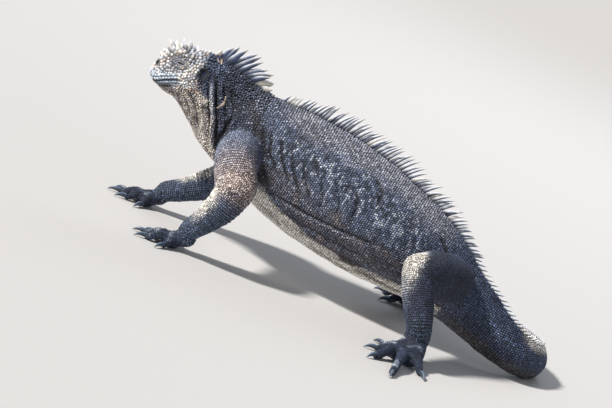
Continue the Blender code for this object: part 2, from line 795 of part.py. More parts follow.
def head_surface(place, angle):
    """A point of the head's skin, and the way out of it, at an angle from the crown."""
    def at(p, a):
        top, bottom, side, shape = section_at(p)
        centre = (top + bottom) * 0.5
        up = (top - bottom).normalized()
        rise, reach = math.cos(a), math.sin(a)
        narrow = 1.0 - shape.y * max(rise, 0.0) ** 1.4 - shape.z * max(-rise, 0.0) ** 1.4
        return centre + up * (rise * (top - bottom).length / 2) + side * (reach * shape.x * narrow)
    here = at(place, angle)
    along = at(place + 0.05, angle) - at(place - 0.05, angle)
    round_it = at(place, angle + 0.05) - at(place, angle - 0.05)
    out = along.cross(round_it).normalized()
    centre = (section_at(place)[0] + section_at(place)[1]) * 0.5
    return here, out if out.dot(here - centre) > 0 else -out


def tubercles():
    """Cone-shaped scales over the snout and crown, in staggered rows."""
    rng = random.Random(SEED + 1)
    cones = []
    for row in range(TUBERCLE_ROWS):
        place = 1.35 + 5.2 * row / (TUBERCLE_ROWS - 1)
        top, bottom, _, shape = section_at(place)
        across = shape.x * (1 - shape.y)
        spread = 0.95 if 2 < row < 6 else 0.8
        count = max(2, round(across * spread * 2 / (TUBERCLE_RADIUS * 1.9)))
        for i in range(count):
            share = (i + 0.5) / count - 0.5
            angle = share * 2.0 * spread * 0.92
            here, out = head_surface(place + (0.16 if i % 2 else -0.06), angle)
            side = 1 if here.y < 0 else -1
            if (here - mirrored(EYE_CENTRE, side)).length < LID_SIZE[0] + 0.0020:
                continue
            if (here - mirrored(NOSTRIL_CENTRE, side)).length < NOSTRIL_RIM + 0.0020:
                continue
            crown = 1.25 if 3 < row < 7 else 0.9
            height = TUBERCLE_HEIGHT * crown * rng.uniform(0.8, 1.15)
            mesh = bmesh.new()
            bmesh.ops.create_cone(
                mesh,
                cap_ends=True,
                segments=5,
                radius1=TUBERCLE_RADIUS,
                radius2=TUBERCLE_RADIUS * 0.22,
                depth=height + 0.0022,
            )
            turn = out.to_track_quat("Z", "Y").to_matrix().to_4x4()
            bmesh.ops.rotate(mesh, cent=(0, 0, 0), matrix=Matrix.Rotation(rng.uniform(0, 1.2), 3, "Z"), verts=mesh.verts)
            bmesh.ops.transform(mesh, matrix=turn, verts=mesh.verts)
            bmesh.ops.translate(mesh, vec=here + out * ((height - 0.0022) / 2), verts=mesh.verts)
            data = bpy.data.meshes.new("tubercle")
            mesh.to_mesh(data)
            mesh.free()
            cone = bpy.data.objects.new("tubercle", data)
            bpy.context.scene.collection.objects.link(cone)
            cones.append(cone)
    return cones


def mouth_path():
    """Points of the mouth line on the skin, from corner to corner, with the way out and up."""
    sides = {}
    for sign in (1, -1):
        sides[sign] = []
        for x, z in MOUTH_LINE:
            place = nearest_head_place(x, z)
            top, bottom, side, shape = section_at(place)
            up = (top - bottom).normalized()
            centre = (top + bottom) * 0.5
            rise = (Vector((x, 0.0, z)) - centre).dot(up) / ((top - bottom).length / 2)
            rise = max(-0.98, min(0.98, rise))
            narrow = 1.0 - shape.y * max(rise, 0.0) ** 1.4 - shape.z * max(-rise, 0.0) ** 1.4
            reach = math.sqrt(1 - rise**2) * shape.x * narrow
            sides[sign].append((Vector((x, sign * reach, z)), side * sign, up))
    front = (MOUTH_FRONT, Vector((-1.0, 0.0, 0.0)), Vector((0.0, 0.0, 1.0)))
    return list(reversed(sides[1])) + [front] + sides[-1]


def mouth_cutter():
    """A thin wedge that follows the mouth line from corner to corner."""
    rings = []
    for on_skin, out, up in mouth_path():
        proud = on_skin + out * 0.004
        rings.append([on_skin - out * MOUTH_DEPTH, proud + up * MOUTH_GAP, proud - up * MOUTH_GAP])
    return loft("mouth cutter", rings)


def lip(above):
    """One lip: a low rounded ridge that runs beside the mouth line, thin at its ends."""
    path = mouth_path()
    points = [on_skin + up * (LIP_OFFSET * above) - out * 0.0003 for on_skin, out, up in path]
    radii = [LIP_RADIUS * (0.45 if i in (0, len(path) - 1) else 1.0) for i in range(len(path))]
    rings = []
    for i, (point, radius) in enumerate(zip(points, radii)):
        _, out, up = path[i]
        rings.append(
            [
                point
                + out * (radius * math.cos(2 * math.pi * k / 6))
                + up * (radius * 1.2 * math.sin(2 * math.pi * k / 6))
                for k in range(6)
            ]
        )
    return loft("lip", rings)


def nearest_head_place(x, z):
    best = min(
        (abs((Vector((x, 0, z)) - section_at(i / 20)[0]).dot(along_of(i / 20))), i / 20) for i in range(0, 150)
    )
    return best[1]


def build_head(spines):
    """The head, with eye sockets under lids, nostrils, ears, the mouth line and cone scales."""
    head = trunk_head()
    pieces = tubercles() + spines_between(spines, *CUTS[0][1:])
    lids = []
    for sign in (1, -1):
        eye = mirrored(EYE_CENTRE, sign)
        out = Vector((0.0, -float(sign), 0.0))
        lids.append(ellipsoid("lids", eye + out * 0.0030, LID_SIZE, 12))
        lids.append(ellipsoid("nostril rim", mirrored(NOSTRIL_CENTRE, sign), (NOSTRIL_RIM,) * 3, 8))
    combine(head, pieces + lids + [lip(1), lip(-1)], "UNION")
    keep_largest(head)
    cutters = []
    for sign in (1, -1):
        eye = mirrored(EYE_CENTRE, sign)
        cutters.append(ellipsoid("socket", eye, (EYE_RADIUS + GAP,) * 3, 12))
        opening = (LID_OPENING[0], 0.0120, LID_OPENING[1])
        out = Vector((0.0, -float(sign), 0.0))
        cutters.append(ellipsoid("opening", eye + out * 0.0080, opening, 10))
        hole = mirrored(NOSTRIL_CENTRE, sign) + Vector((-0.0018, -0.0022 * sign, 0.0006))
        cutters.append(ellipsoid("nostril", hole, NOSTRIL_SIZE, 8))
        cutters.append(ellipsoid("ear", mirrored(EAR_CENTRE, sign), (EAR_RADIUS, 0.0022, EAR_RADIUS), 10))
    cutters.append(mouth_cutter())
    combine(head, cutters, "DIFFERENCE")
    keep_largest(head)
    return head


def trunk_head():
    _, first, last = CUTS[0]
    count = 18
    rings = []
    for i in range(count + 1):
        place = 7 * (i / count) ** 1.15
        shift = -GAP / 2 if i == count else 0.0
        rings.append(section_ring(place, BODY_SIDES, shift))
    return loft("head", rings)


def build():
    clear_scene()
    skin = material("grey scaly skin", GREY_SKIN, 0.75)
    pale = material("pale head scales", PALE_HEAD, 0.7)
    horn = material("dark claw horn", DARK_CLAW, 0.35)
    wet = material("dark wet eye", DARK_EYE, 0.08)
    spines = crest()
    nodes = []
    head = build_head(spines)
    head.data.materials.append(pale)
    nodes.append(head)
    for name, first, last in CUTS[1:]:
        sides = BODY_SIDES if last <= 20 else TAIL_SIDES
        piece = trunk_piece(name, first, last, sides)
        found = spines_between(spines, first, last)
        if found:
            combine(piece, found, "UNION")
            keep_largest(piece)
        settle(piece)
        piece.data.materials.append(skin)
        nodes.append(piece)
    for sign, label in ((1, "left"), (-1, "right")):
        eye = ellipsoid("eye_" + label, mirrored(EYE_CENTRE, sign), (EYE_RADIUS,) * 3, 12)
        eye.data.materials.append(wet)
        nodes.append(eye)
    limbs = (
        (("upper_arm_left", "forearm_left", "hand_left"), ARM_LEFT, PALM_ARM_LEFT, DIGITS_ARM_LEFT),
        (("upper_arm_right", "forearm_right", "hand_right"), ARM_RIGHT, PALM_ARM_RIGHT, DIGITS_ARM_RIGHT),
        (("thigh_left", "shin_left", "foot_left"), LEG_LEFT, PALM_LEG_LEFT, DIGITS_LEG_LEFT),
        (("thigh_right", "shin_right", "foot_right"), LEG_RIGHT, PALM_LEG_RIGHT, DIGITS_LEG_RIGHT),
    )
    for names, stations, palm, digits in limbs:
        for made in limb(names, stations, palm, digits):
            made.data.materials.append(horn if "claw" in made.name else skin)
            nodes.append(made)
    arrange(nodes)


def arrange(nodes):
    """Puts the nodes in the object's collection, over the middle of its outline."""
    group = bpy.data.collections.new("marine iguana")
    bpy.context.scene.collection.children.link(group)
    lows = [min(v.co[axis] for node in nodes for v in node.data.vertices) for axis in range(3)]
    highs = [max(v.co[axis] for node in nodes for v in node.data.vertices) for axis in range(3)]
    origin = bpy.data.objects.new("marine iguana origin", None)
    origin.location = (-(lows[0] + highs[0]) / 2, -(lows[1] + highs[1]) / 2, -lows[2])
    group.objects.link(origin)
    for node in nodes:
        bpy.context.scene.collection.objects.unlink(node)
        group.objects.link(node)
        node.parent = origin
        node.data.shade_smooth()
        node.data.set_sharp_from_angle(angle=math.radians(35))
    bpy.context.view_layer.update()


build()
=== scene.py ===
import json
import math
import random

import bmesh
import bpy
import numpy as np
from mathutils import Matrix, Vector, kdtree
from mathutils.bvhtree import BVHTree

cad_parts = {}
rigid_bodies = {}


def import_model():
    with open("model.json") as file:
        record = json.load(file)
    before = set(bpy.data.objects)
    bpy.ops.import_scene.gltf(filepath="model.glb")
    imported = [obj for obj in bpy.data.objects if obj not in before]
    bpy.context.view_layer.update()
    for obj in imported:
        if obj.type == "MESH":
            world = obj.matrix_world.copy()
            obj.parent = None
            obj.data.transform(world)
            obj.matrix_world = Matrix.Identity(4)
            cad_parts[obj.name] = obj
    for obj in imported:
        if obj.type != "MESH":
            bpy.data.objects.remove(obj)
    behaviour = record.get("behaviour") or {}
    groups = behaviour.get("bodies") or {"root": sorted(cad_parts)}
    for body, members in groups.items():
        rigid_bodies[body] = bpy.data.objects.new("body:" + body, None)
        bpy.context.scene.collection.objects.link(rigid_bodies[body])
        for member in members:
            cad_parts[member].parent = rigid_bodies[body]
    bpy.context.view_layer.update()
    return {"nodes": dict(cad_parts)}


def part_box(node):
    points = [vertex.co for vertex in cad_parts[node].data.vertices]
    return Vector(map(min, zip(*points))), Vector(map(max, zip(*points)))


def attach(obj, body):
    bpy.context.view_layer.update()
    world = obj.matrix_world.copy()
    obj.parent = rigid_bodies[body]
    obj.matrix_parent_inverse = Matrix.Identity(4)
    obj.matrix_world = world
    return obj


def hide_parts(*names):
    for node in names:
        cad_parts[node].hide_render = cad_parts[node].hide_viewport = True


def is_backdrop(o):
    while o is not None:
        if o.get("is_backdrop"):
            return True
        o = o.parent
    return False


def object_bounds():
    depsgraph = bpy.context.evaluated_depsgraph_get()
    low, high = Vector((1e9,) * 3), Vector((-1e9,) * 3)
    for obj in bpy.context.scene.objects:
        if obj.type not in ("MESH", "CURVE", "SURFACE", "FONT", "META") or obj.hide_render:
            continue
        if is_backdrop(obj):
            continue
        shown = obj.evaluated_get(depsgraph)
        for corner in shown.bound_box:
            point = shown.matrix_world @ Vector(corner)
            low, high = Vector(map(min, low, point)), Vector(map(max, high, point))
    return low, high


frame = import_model()


# Studio: a plain pale floor, soft panels of light and the camera. The animal lay on a slope, so
# the camera is rolled to keep its slant in the picture while the floor stays level.
low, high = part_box("eye_left")
EYE = Vector((-0.1697, -0.0142, 0.1625))
HOME = (low + high) / 2 - EYE

for item in bpy.data.objects:
    item.select_set(False)
bpy.ops.mesh.primitive_plane_add(size=60, location=(0, 0, 0))
floor = bpy.context.object
floor.name = "studio_floor"
floor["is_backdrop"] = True
paper = bpy.data.materials.new("pale paper floor")
paper.use_nodes = True
paper.node_tree.nodes["Principled BSDF"].inputs["Base Color"].default_value = (0.60, 0.59, 0.58, 1)
paper.node_tree.nodes["Principled BSDF"].inputs["Roughness"].default_value = 0.9
floor.data.materials.append(paper)

world = bpy.data.worlds.new("studio air")
world.use_nodes = True
world.node_tree.nodes["Background"].inputs["Color"].default_value = (0.86, 0.90, 1.0, 1)
world.node_tree.nodes["Background"].inputs["Strength"].default_value = 0.30
bpy.context.scene.world = world
bpy.context.scene.view_settings.view_transform = "Standard"

TARGET = HOME + Vector((0.0, 0.0, 0.080))
for name, kind, place, size, power, colour in (
    ("key_lamp", "SUN", (-1.30, -0.75, 1.35), math.radians(6), 4.6, (1.0, 0.965, 0.92)),
    ("fill_panel", "AREA", (1.3, -1.9, 0.9), 1.6, 5, (0.80, 0.90, 1.0)),
    ("rim_panel", "AREA", (0.4, 1.7, 1.3), 0.9, 8, (0.90, 0.95, 1.0)),
):
    lamp = bpy.data.objects.new(name, bpy.data.lights.new(name, kind))
    if kind == "SUN":
        lamp.data.angle = size
    else:
        lamp.data.size = size
    lamp.data.energy = power
    lamp.data.color = colour
    lamp.location = TARGET + Vector(place)
    lamp.rotation_mode = "QUATERNION"
    lamp.rotation_quaternion = (TARGET - lamp.location).to_track_quat("-Z", "Y")
    bpy.context.scene.collection.objects.link(lamp)

ROLL = math.radians(24)
RISE = math.radians(12)
back = Vector((0, -math.cos(RISE), math.sin(RISE)))
camera = bpy.data.objects.new("camera", bpy.data.cameras.new("camera"))
camera.data.lens = 176.5
camera.data.sensor_width = 36
camera.location = TARGET + back * 3.0
camera.rotation_mode = "QUATERNION"
level = (-back).to_track_quat("-Z", "Y").to_matrix()
turn = Vector((1, 0, 0)) * math.cos(ROLL) + (level @ Vector((0, 1, 0))) * math.sin(ROLL)
upright = back.cross(turn)
camera.rotation_quaternion = Matrix((turn, upright, back)).transposed().to_quaternion()
bpy.context.scene.collection.objects.link(camera)
bpy.context.scene.camera = camera


# Finishes: a small hand for shader maths, and the scaly skin. The skin's colour is worked out on
# the body's own lengths and sides below and kept on each point; here it gets its fine grain.
class Shade:
    """A number inside a material. Python's operators add Math nodes."""

    def __init__(self, finish, socket):
        self.finish = finish
        self.socket = socket

    def maths(self, operation, first, second):
        return self.finish.node("ShaderNodeMath", {"operation": operation}, {0: first, 1: second})

    def __add__(self, other):
        return self.maths("ADD", self, other)

    __radd__ = __add__

    def __mul__(self, other):
        return self.maths("MULTIPLY", self, other)


class Finish:
    """One material, built node by node onto its Principled shader."""

    def __init__(self, name):
        self.material = bpy.data.materials.new(name)
        self.material.use_nodes = True
        self.tree = self.material.node_tree
        self.shader = self.tree.nodes["Principled BSDF"]

    def node(self, kind, settings=None, sockets=None, output=0):
        made = self.tree.nodes.new(kind)
        for key, value in (settings or {}).items():
            if key == "stops":
                ramp = made.color_ramp
                for at, colour in value[1:-1]:
                    ramp.elements.new(at)
                for stop, (at, colour) in zip(ramp.elements, value):
                    stop.position = at
                    stop.color = colour
            else:
                setattr(made, key, value)
        for key, value in (sockets or {}).items():
            self.feed(made.inputs[key], value)
        return Shade(self, made.outputs[output])

    def feed(self, socket, value):
        if isinstance(value, Shade):
            self.tree.links.new(value.socket, socket)
        elif socket.type == "RGBA" and len(value) == 3:
            socket.default_value = (*value, 1)
        else:
            socket.default_value = value

    def set(self, **sockets):
        for key, value in sockets.items():
            self.feed(self.shader.inputs[key.replace("_", " ")], value)

    def attribute(self, name, output=0):
        return self.node("ShaderNodeAttribute", {"attribute_name": name}, output=output)

    def place(self):
        return self.node("ShaderNodeTexCoord", output=3)

    def noise(self, scale, detail=2.0, roughness=0.5, vector=None):
        return self.node(
            "ShaderNodeTexNoise",
            None,
            {"Vector": vector or self.place(), "Scale": scale, "Detail": detail, "Roughness": roughness},
        )

    def mix(self, share, first, second, blend="MIX"):
        return self.node(
            "ShaderNodeMix",
            {"data_type": "RGBA", "blend_type": blend},
            {0: share, 6: first, 7: second},
            output=2,
        )

    def bump(self, height, strength, distance):
        return self.node(
            "ShaderNodeBump", None, {"Height": height, "Strength": strength, "Distance": distance}
        )


def skin_finish(name, grain, roughness):
    """Scaly skin: the painted colour with dust and salt in its grain and a dull, dry surface."""
    made = Finish(name)
    paint = made.attribute("paint")
    mottle = made.noise(260.0, 4.0, 0.65)
    dust = made.noise(1400.0, 3.0, 0.7)
    shade = made.mix(1.0, paint, made.node("ShaderNodeValToRGB", {"stops": (
        (0.30, (0.62, 0.63, 0.66, 1)),
        (0.50, (1.0, 1.0, 1.0, 1)),
        (0.72, (1.38, 1.34, 1.28, 1)),
    )}, {0: mottle}), "MULTIPLY")
    salt = made.node("ShaderNodeValToRGB", {"stops": (
        (0.55, (0.0, 0.0, 0.0, 1)),
        (0.75, (1.0, 1.0, 1.0, 1)),
    )}, {0: dust})
    made.set(
        Base_Color=made.mix(salt * 0.16, shade, (0.50, 0.49, 0.46)),
        Roughness=roughness + mottle * 0.18,
        Normal=made.bump(dust + mottle * 1.5, grain, 0.0004),
    )
    made.shader.inputs["Specular IOR Level"].default_value = 0.38
    return made.material


SKIN = skin_finish("scaly skin between scales", 0.5, 0.62)
SCALES = skin_finish("dry horny scales", 0.35, 0.48)


# Skin, the body's lengths: the same plan as the solids. The trunk and tail are one row of upright
# sections, each limb a run of round ones, and hands and feet add palms and arched digits.
def follow(rows, places):
    """The smooth curve through rows of numbers, at places counted in rows."""
    rows = np.asarray(rows, float)
    last = len(rows) - 1
    i = np.clip(np.asarray(places).astype(int), 0, last - 1)
    f = (places - i)[:, None]
    before, here, there, after = (rows[np.clip(i + k, 0, last)] for k in (-1, 0, 1, 2))
    return (
        here * (2 * f**3 - 3 * f**2 + 1)
        + (there - before) * 0.5 * (f**3 - 2 * f**2 + f)
        + there * (3 * f**2 - 2 * f**3)
        + (after - here) * 0.5 * (f**3 - f**2)
    )


def unit(vectors):
    return vectors / np.maximum(np.linalg.norm(vectors, axis=-1, keepdims=True), 1e-12)


def dot(a, b):
    return (a * b).sum(-1)


def ease(low, high, value):
    """Rises smoothly from 0 at low to 1 at high."""
    t = np.clip((value - low) / (high - low), 0, 1)
    return t * t * (3 - 2 * t)


class Flesh:
    """One length of the body: ellipses along a line, narrowed towards their top and bottom."""

    def __init__(self, name, place, centre, up, side, tall, wide, roof=0.0, keel=0.0):
        self.name = name
        self.place = np.asarray(place, float)
        self.centre = centre
        self.up = unit(up)
        self.side = unit(side)
        self.ahead = np.cross(self.side, self.up)
        self.tall = np.asarray(tall, float)
        self.wide = np.asarray(wide, float)
        self.roof = np.broadcast_to(roof, self.place.shape)
        self.keel = np.broadcast_to(keel, self.place.shape)
        self.arc = np.concatenate([[0], np.cumsum(np.linalg.norm(np.diff(centre, axis=0), axis=1))])

    def read(self, values, arc):
        """Ring values at distances along the line."""
        if values.ndim == 1:
            return np.interp(arc, self.arc, values)
        return np.stack([np.interp(arc, self.arc, values[:, k]) for k in range(3)], axis=-1)

    def narrow(self, arc, rise):
        roof, keel = self.read(self.roof, arc), self.read(self.keel, arc)
        return 1 - roof * np.maximum(rise, 0) ** 1.4 - keel * np.maximum(-rise, 0) ** 1.4

    def point(self, arc, angle, grow=0.0):
        """Points on the surface. The angle counts from the back, over the right side."""
        rise, reach = np.cos(angle), np.sin(angle)
        tall = self.read(self.tall, arc) + grow
        wide = (self.read(self.wide, arc) + grow) * self.narrow(arc, rise)
        return (
            self.read(self.centre, arc)
            + self.read(self.up, arc) * (rise * tall)[..., None]
            + self.read(self.side, arc) * (reach * wide)[..., None]
        )

    def locate(self, points, arc):
        """The distance along the line and the angle of points, from a first guess of the distance."""
        for _ in range(4):
            ahead = self.read(self.ahead, arc)
            step = self.read(np.gradient(self.centre, self.arc, axis=0), arc)
            away = dot(points - self.read(self.centre, arc), ahead) / np.maximum(dot(step, ahead), 0.3)
            arc = np.clip(arc + np.clip(away, -0.006, 0.006), 0, self.arc[-1])
        off = points - self.read(self.centre, arc)
        rise = dot(off, self.read(self.up, arc)) / np.maximum(self.read(self.tall, arc), 1e-4)
        reach = dot(off, self.read(self.side, arc)) / np.maximum(self.read(self.wide, arc), 1e-4)
        length = np.maximum(np.hypot(rise, reach), 1e-6)
        return arc, np.arctan2(reach / self.narrow(arc, rise / length), rise)


TRUNK = (  # back x, z, belly x, z, half width, narrowing to the back, narrowing to the belly
    (-0.1950, 0.1430, -0.1925, 0.1335, 0.0070, 0.00, 0.00),
    (-0.1935, 0.1490, -0.1880, 0.1300, 0.0130, 0.02, 0.05),
    (-0.1918, 0.1572, -0.1820, 0.1280, 0.0168, 0.04, 0.10),
    (-0.1862, 0.1660, -0.1735, 0.1262, 0.0196, 0.02, 0.15),
    (-0.1775, 0.1728, -0.1640, 0.1248, 0.0222, -0.06, 0.20),
    (-0.1658, 0.1770, -0.1545, 0.1190, 0.0246, -0.08, 0.25),
    (-0.1518, 0.1798, -0.1425, 0.1095, 0.0266, 0.00, 0.36),
    (-0.1385, 0.1803, -0.1285, 0.0970, 0.0266, 0.14, 0.48),
    (-0.1240, 0.1784, -0.1160, 0.0884, 0.0262, 0.32, 0.52),
    (-0.1090, 0.1744, -0.1040, 0.0818, 0.0275, 0.34, 0.46),
    (-0.0920, 0.1700, -0.0895, 0.0745, 0.0320, 0.32, 0.30),
    (-0.0730, 0.1670, -0.0755, 0.0665, 0.0385, 0.30, 0.14),
    (-0.0490, 0.1668, -0.0560, 0.0600, 0.0440, 0.30, 0.05),
    (-0.0210, 0.1663, -0.0330, 0.0520, 0.0490, 0.30, 0.00),
    (0.0080, 0.1640, -0.0090, 0.0455, 0.0530, 0.30, 0.00),
    (0.0380, 0.1585, 0.0180, 0.0400, 0.0555, 0.30, 0.00),
    (0.0680, 0.1515, 0.0460, 0.0362, 0.0560, 0.30, 0.00),
    (0.0970, 0.1415, 0.0740, 0.0338, 0.0540, 0.32, 0.02),
    (0.1230, 0.1315, 0.1000, 0.0335, 0.0480, 0.34, 0.06),
    (0.1470, 0.1195, 0.1260, 0.0330, 0.0400, 0.36, 0.10),
    (0.1690, 0.1045, 0.1505, 0.0300, 0.0325, 0.38, 0.14),
)
TAIL_START = 0.1900
TAIL_TURNS = ((0.033, 0.0), (0.120, 120.0), (0.110, 12.0), (0.105, 46.0), (0.132, -22.0))
TAIL = (  # distance, top, underside, half width, lag of the underside
    (0.000, 0.0885, 0.0260, 0.0265, 0.0170),
    (0.022, 0.0740, 0.0190, 0.0215, 0.0150),
    (0.044, 0.0590, 0.0120, 0.0176, 0.0120),
    (0.066, 0.0475, 0.0055, 0.0146, 0.0080),
    (0.090, 0.0395, 0.0008, 0.0124, 0.0030),
    (0.120, 0.0350, -0.0012, 0.0108, 0.0000),
    (0.160, 0.0325, -0.0012, 0.0096, 0.0000),
    (0.210, 0.0290, -0.0010, 0.0085, 0.0000),
    (0.260, 0.0250, -0.0010, 0.0074, 0.0000),
    (0.310, 0.0205, -0.0008, 0.0063, 0.0000),
    (0.360, 0.0160, -0.0008, 0.0052, 0.0000),
    (0.410, 0.0115, -0.0006, 0.0040, 0.0000),
    (0.455, 0.0080, -0.0005, 0.0030, 0.0000),
    (0.485, 0.0054, -0.0004, 0.0022, 0.0000),
    (0.500, 0.0036, -0.0003, 0.0014, 0.0000),
)
TAIL_ROOF, TAIL_KEEL = 0.45, 0.20


def tail_plan(distance):
    """The tail's place and heading on the floor plan, a distance from its start."""
    x, y, heading, left = TAIL_START, 0.0, 0.0, distance
    for length, degrees in TAIL_TURNS:
        step = min(left, length)
        turn = math.radians(degrees) * step / length
        if abs(turn) < 1e-6:
            x, y = x + step * math.cos(heading), y + step * math.sin(heading)
        else:
            bend = step / turn
            x += bend * (math.sin(heading + turn) - math.sin(heading))
            y += bend * (math.cos(heading) - math.cos(heading + turn))
        heading += turn
        left -= step
    return x, y, heading


def body_rows():
    """Top, bottom, side and shape of every section, snout to tail tip."""
    rows = [(back_x, 0, back_z, belly_x, 0, belly_z, 0, 1, 0, wide, roof, keel)
            for back_x, back_z, belly_x, belly_z, wide, roof, keel in TRUNK]
    for distance, top, under, wide, lag in TAIL:
        x, y, heading = tail_plan(distance)
        c, s = math.cos(heading), math.sin(heading)
        rows.append((x, y, top, x - c * lag, y - s * lag, under, -s, c, 0, wide, TAIL_ROOF, TAIL_KEEL))
    return np.array(rows, float)


def body_flesh():
    places = np.linspace(0, len(BODY_ROWS) - 1, 701)
    rows = follow(BODY_ROWS, places)
    top, bottom, side = rows[:, 0:3], rows[:, 3:6], rows[:, 6:9]
    up = unit(top - bottom)
    side = unit(side - up * dot(side, up)[:, None])
    tall = np.linalg.norm(top - bottom, axis=1) / 2
    return Flesh("body", places, (top + bottom) / 2, up, side, tall, rows[:, 9], rows[:, 10], rows[:, 11])


def limb_flesh(name, stations, first, last, caps):
    """A run of round sections between two stations, with a dome over the ends that caps name."""
    count = (last - first) * 14 + 1
    rows = np.array([(*centre, radius) for centre, radius in stations], float)[first : last + 1]
    places = np.linspace(0, last - first, count)
    dense = follow(rows, places)
    centre, radius = dense[:, :3], dense[:, 3]
    for end in caps:
        tip = 0 if end == "start" else -1
        inner = 1 if end == "start" else -2
        out = unit(centre[tip] - centre[inner])
        sweep = np.linspace(0.15, 1.45, 9)
        dome = centre[tip] + out * (radius[tip] * np.sin(sweep))[:, None]
        small = radius[tip] * np.cos(sweep)
        if end == "start":
            centre, radius = np.vstack([dome[::-1], centre]), np.concatenate([small[::-1], radius])
            places = np.concatenate([np.full(9, places[0]), places])
        else:
            centre, radius = np.vstack([centre, dome]), np.concatenate([radius, small])
            places = np.concatenate([places, np.full(9, places[-1])])
    ahead = unit(np.gradient(centre, axis=0))
    up = np.zeros_like(ahead)
    seen = np.array([0.0, 0.3, 1.0])
    for i, direction in enumerate(ahead):
        seen = seen - direction * np.dot(seen, direction)
        seen = seen / np.linalg.norm(seen)
        up[i] = seen
    return Flesh(name, places + first, centre, up, np.cross(up, ahead), radius, radius)


def palm_flesh(name, rows):
    dense = follow(np.array([(*c, wide, tall) for c, wide, tall in rows], float), np.linspace(0, 3, 31))
    flat = dense[-1, :3] - dense[0, :3]
    flat[2] = 0
    flat = flat / np.linalg.norm(flat)
    across = np.tile(np.cross((0, 0, 1.0), flat), (31, 1))
    up = np.tile((0, 0, 1.0), (31, 1))
    return Flesh(name, np.linspace(0, 3, 31), dense[:, :3], up, across, dense[:, 4], dense[:, 3])


CLAW_LENGTH = 0.0130
CLAW_RADIUS = 0.0025


def digit_line(digit):
    """Centres and radii of a digit from palm to claw, the way it points, and where it touches."""
    root, tip, arch, radius = digit
    root = np.array(root)
    touch = np.array((*tip, 0.0))
    flat = unit(np.array((touch[0] - root[0], touch[1] - root[1], 0.0)))
    end = touch - flat * (CLAW_LENGTH * 0.88)
    end[2] = radius * 0.558
    crook = root + (end - root) * 0.40
    crook[2] = arch * 0.62
    pad = root + (end - root) * 0.78
    pad[2] = radius * 0.70
    share = np.array((0.95, 1.0, 0.90, 0.78, 0.62)) * radius
    path = np.array([root - flat * 0.005, root, crook, pad, end])
    return np.column_stack([path, share]), flat, touch


def digit_flesh(name, digit):
    rows, flat, _ = digit_line(digit)
    places = np.linspace(0.5, 4, 36)
    dense = follow(rows, places)
    centre, radius = dense[:, :3], dense[:, 3]
    swell = 1 + 0.10 * np.exp(-(((places - 2.0) / 0.45) ** 2))
    swell = swell + 0.07 * np.exp(-(((places - 3.1) / 0.35) ** 2))
    radius = radius * swell
    centre[:, 2] = np.maximum(centre[:, 2], radius * 0.93)
    ahead = unit(np.gradient(centre, axis=0))
    side = unit(np.cross((0, 0, 1.0), ahead))
    return Flesh(name, places, centre, np.cross(ahead, side), side, radius * 0.95, radius)


LIMBS = {  # centre and radius from deep in the body to the wrist or ankle; the elbow or knee is row 3
    "arm_left": (
        ((-0.0760, -0.0120, 0.1100), 0.0180), ((-0.0800, -0.0360, 0.1080), 0.0225),
        ((-0.0780, -0.0580, 0.0990), 0.0215), ((-0.0685, -0.0740, 0.0820), 0.0205),
        ((-0.0730, -0.0765, 0.0610), 0.0172), ((-0.0835, -0.0735, 0.0400), 0.0138),
        ((-0.0940, -0.0690, 0.0225), 0.0110),
    ),
    "arm_right": (
        ((-0.0760, 0.0120, 0.1100), 0.0180), ((-0.0830, 0.0340, 0.1040), 0.0225),
        ((-0.0825, 0.0500, 0.0850), 0.0212), ((-0.0820, 0.0600, 0.0600), 0.0192),
        ((-0.1000, 0.0600, 0.0440), 0.0158), ((-0.1200, 0.0560, 0.0300), 0.0128),
        ((-0.1380, 0.0520, 0.0200), 0.0106),
    ),
    "leg_left": (
        ((0.1660, -0.0060, 0.0720), 0.0190), ((0.1600, -0.0330, 0.0760), 0.0235),
        ((0.1430, -0.0610, 0.0830), 0.0215), ((0.1280, -0.0840, 0.0830), 0.0180),
        ((0.1340, -0.0925, 0.0660), 0.0165), ((0.1420, -0.0985, 0.0500), 0.0150),
        ((0.1490, -0.1030, 0.0350), 0.0132),
    ),
    "leg_right": (
        ((0.1640, 0.0060, 0.0720), 0.0190), ((0.1560, 0.0330, 0.0760), 0.0235),
        ((0.1370, 0.0600, 0.0830), 0.0215), ((0.1210, 0.0820, 0.0830), 0.0180),
        ((0.1270, 0.0910, 0.0660), 0.0165), ((0.1350, 0.0975, 0.0500), 0.0150),
        ((0.1420, 0.1020, 0.0350), 0.0132),
    ),
}
PALMS = {  # centre, half width and half height from the wrist or ankle to the knuckles
    "arm_left": (
        ((-0.0930, -0.0685, 0.0160), 0.0095, 0.0080), ((-0.1010, -0.0680, 0.0098), 0.0125, 0.0100),
        ((-0.1090, -0.0680, 0.0076), 0.0140, 0.0088), ((-0.1150, -0.0680, 0.0072), 0.0100, 0.0055),
    ),
    "arm_right": (
        ((-0.1380, 0.0520, 0.0150), 0.0095, 0.0080), ((-0.1460, 0.0510, 0.0098), 0.0125, 0.0100),
        ((-0.1540, 0.0500, 0.0076), 0.0140, 0.0088), ((-0.1600, 0.0495, 0.0072), 0.0100, 0.0055),
    ),
    "leg_left": (
        ((0.1520, -0.0960, 0.0200), 0.0120, 0.0120), ((0.1510, -0.1060, 0.0160), 0.0155, 0.0135),
        ((0.1475, -0.1170, 0.0106), 0.0180, 0.0118), ((0.1430, -0.1250, 0.0088), 0.0150, 0.0075),
    ),
    "leg_right": (
        ((0.1450, 0.0950, 0.0200), 0.0120, 0.0120), ((0.1440, 0.1050, 0.0160), 0.0155, 0.0135),
        ((0.1405, 0.1160, 0.0106), 0.0180, 0.0118), ((0.1360, 0.1240, 0.0088), 0.0150, 0.0075),
    ),
}
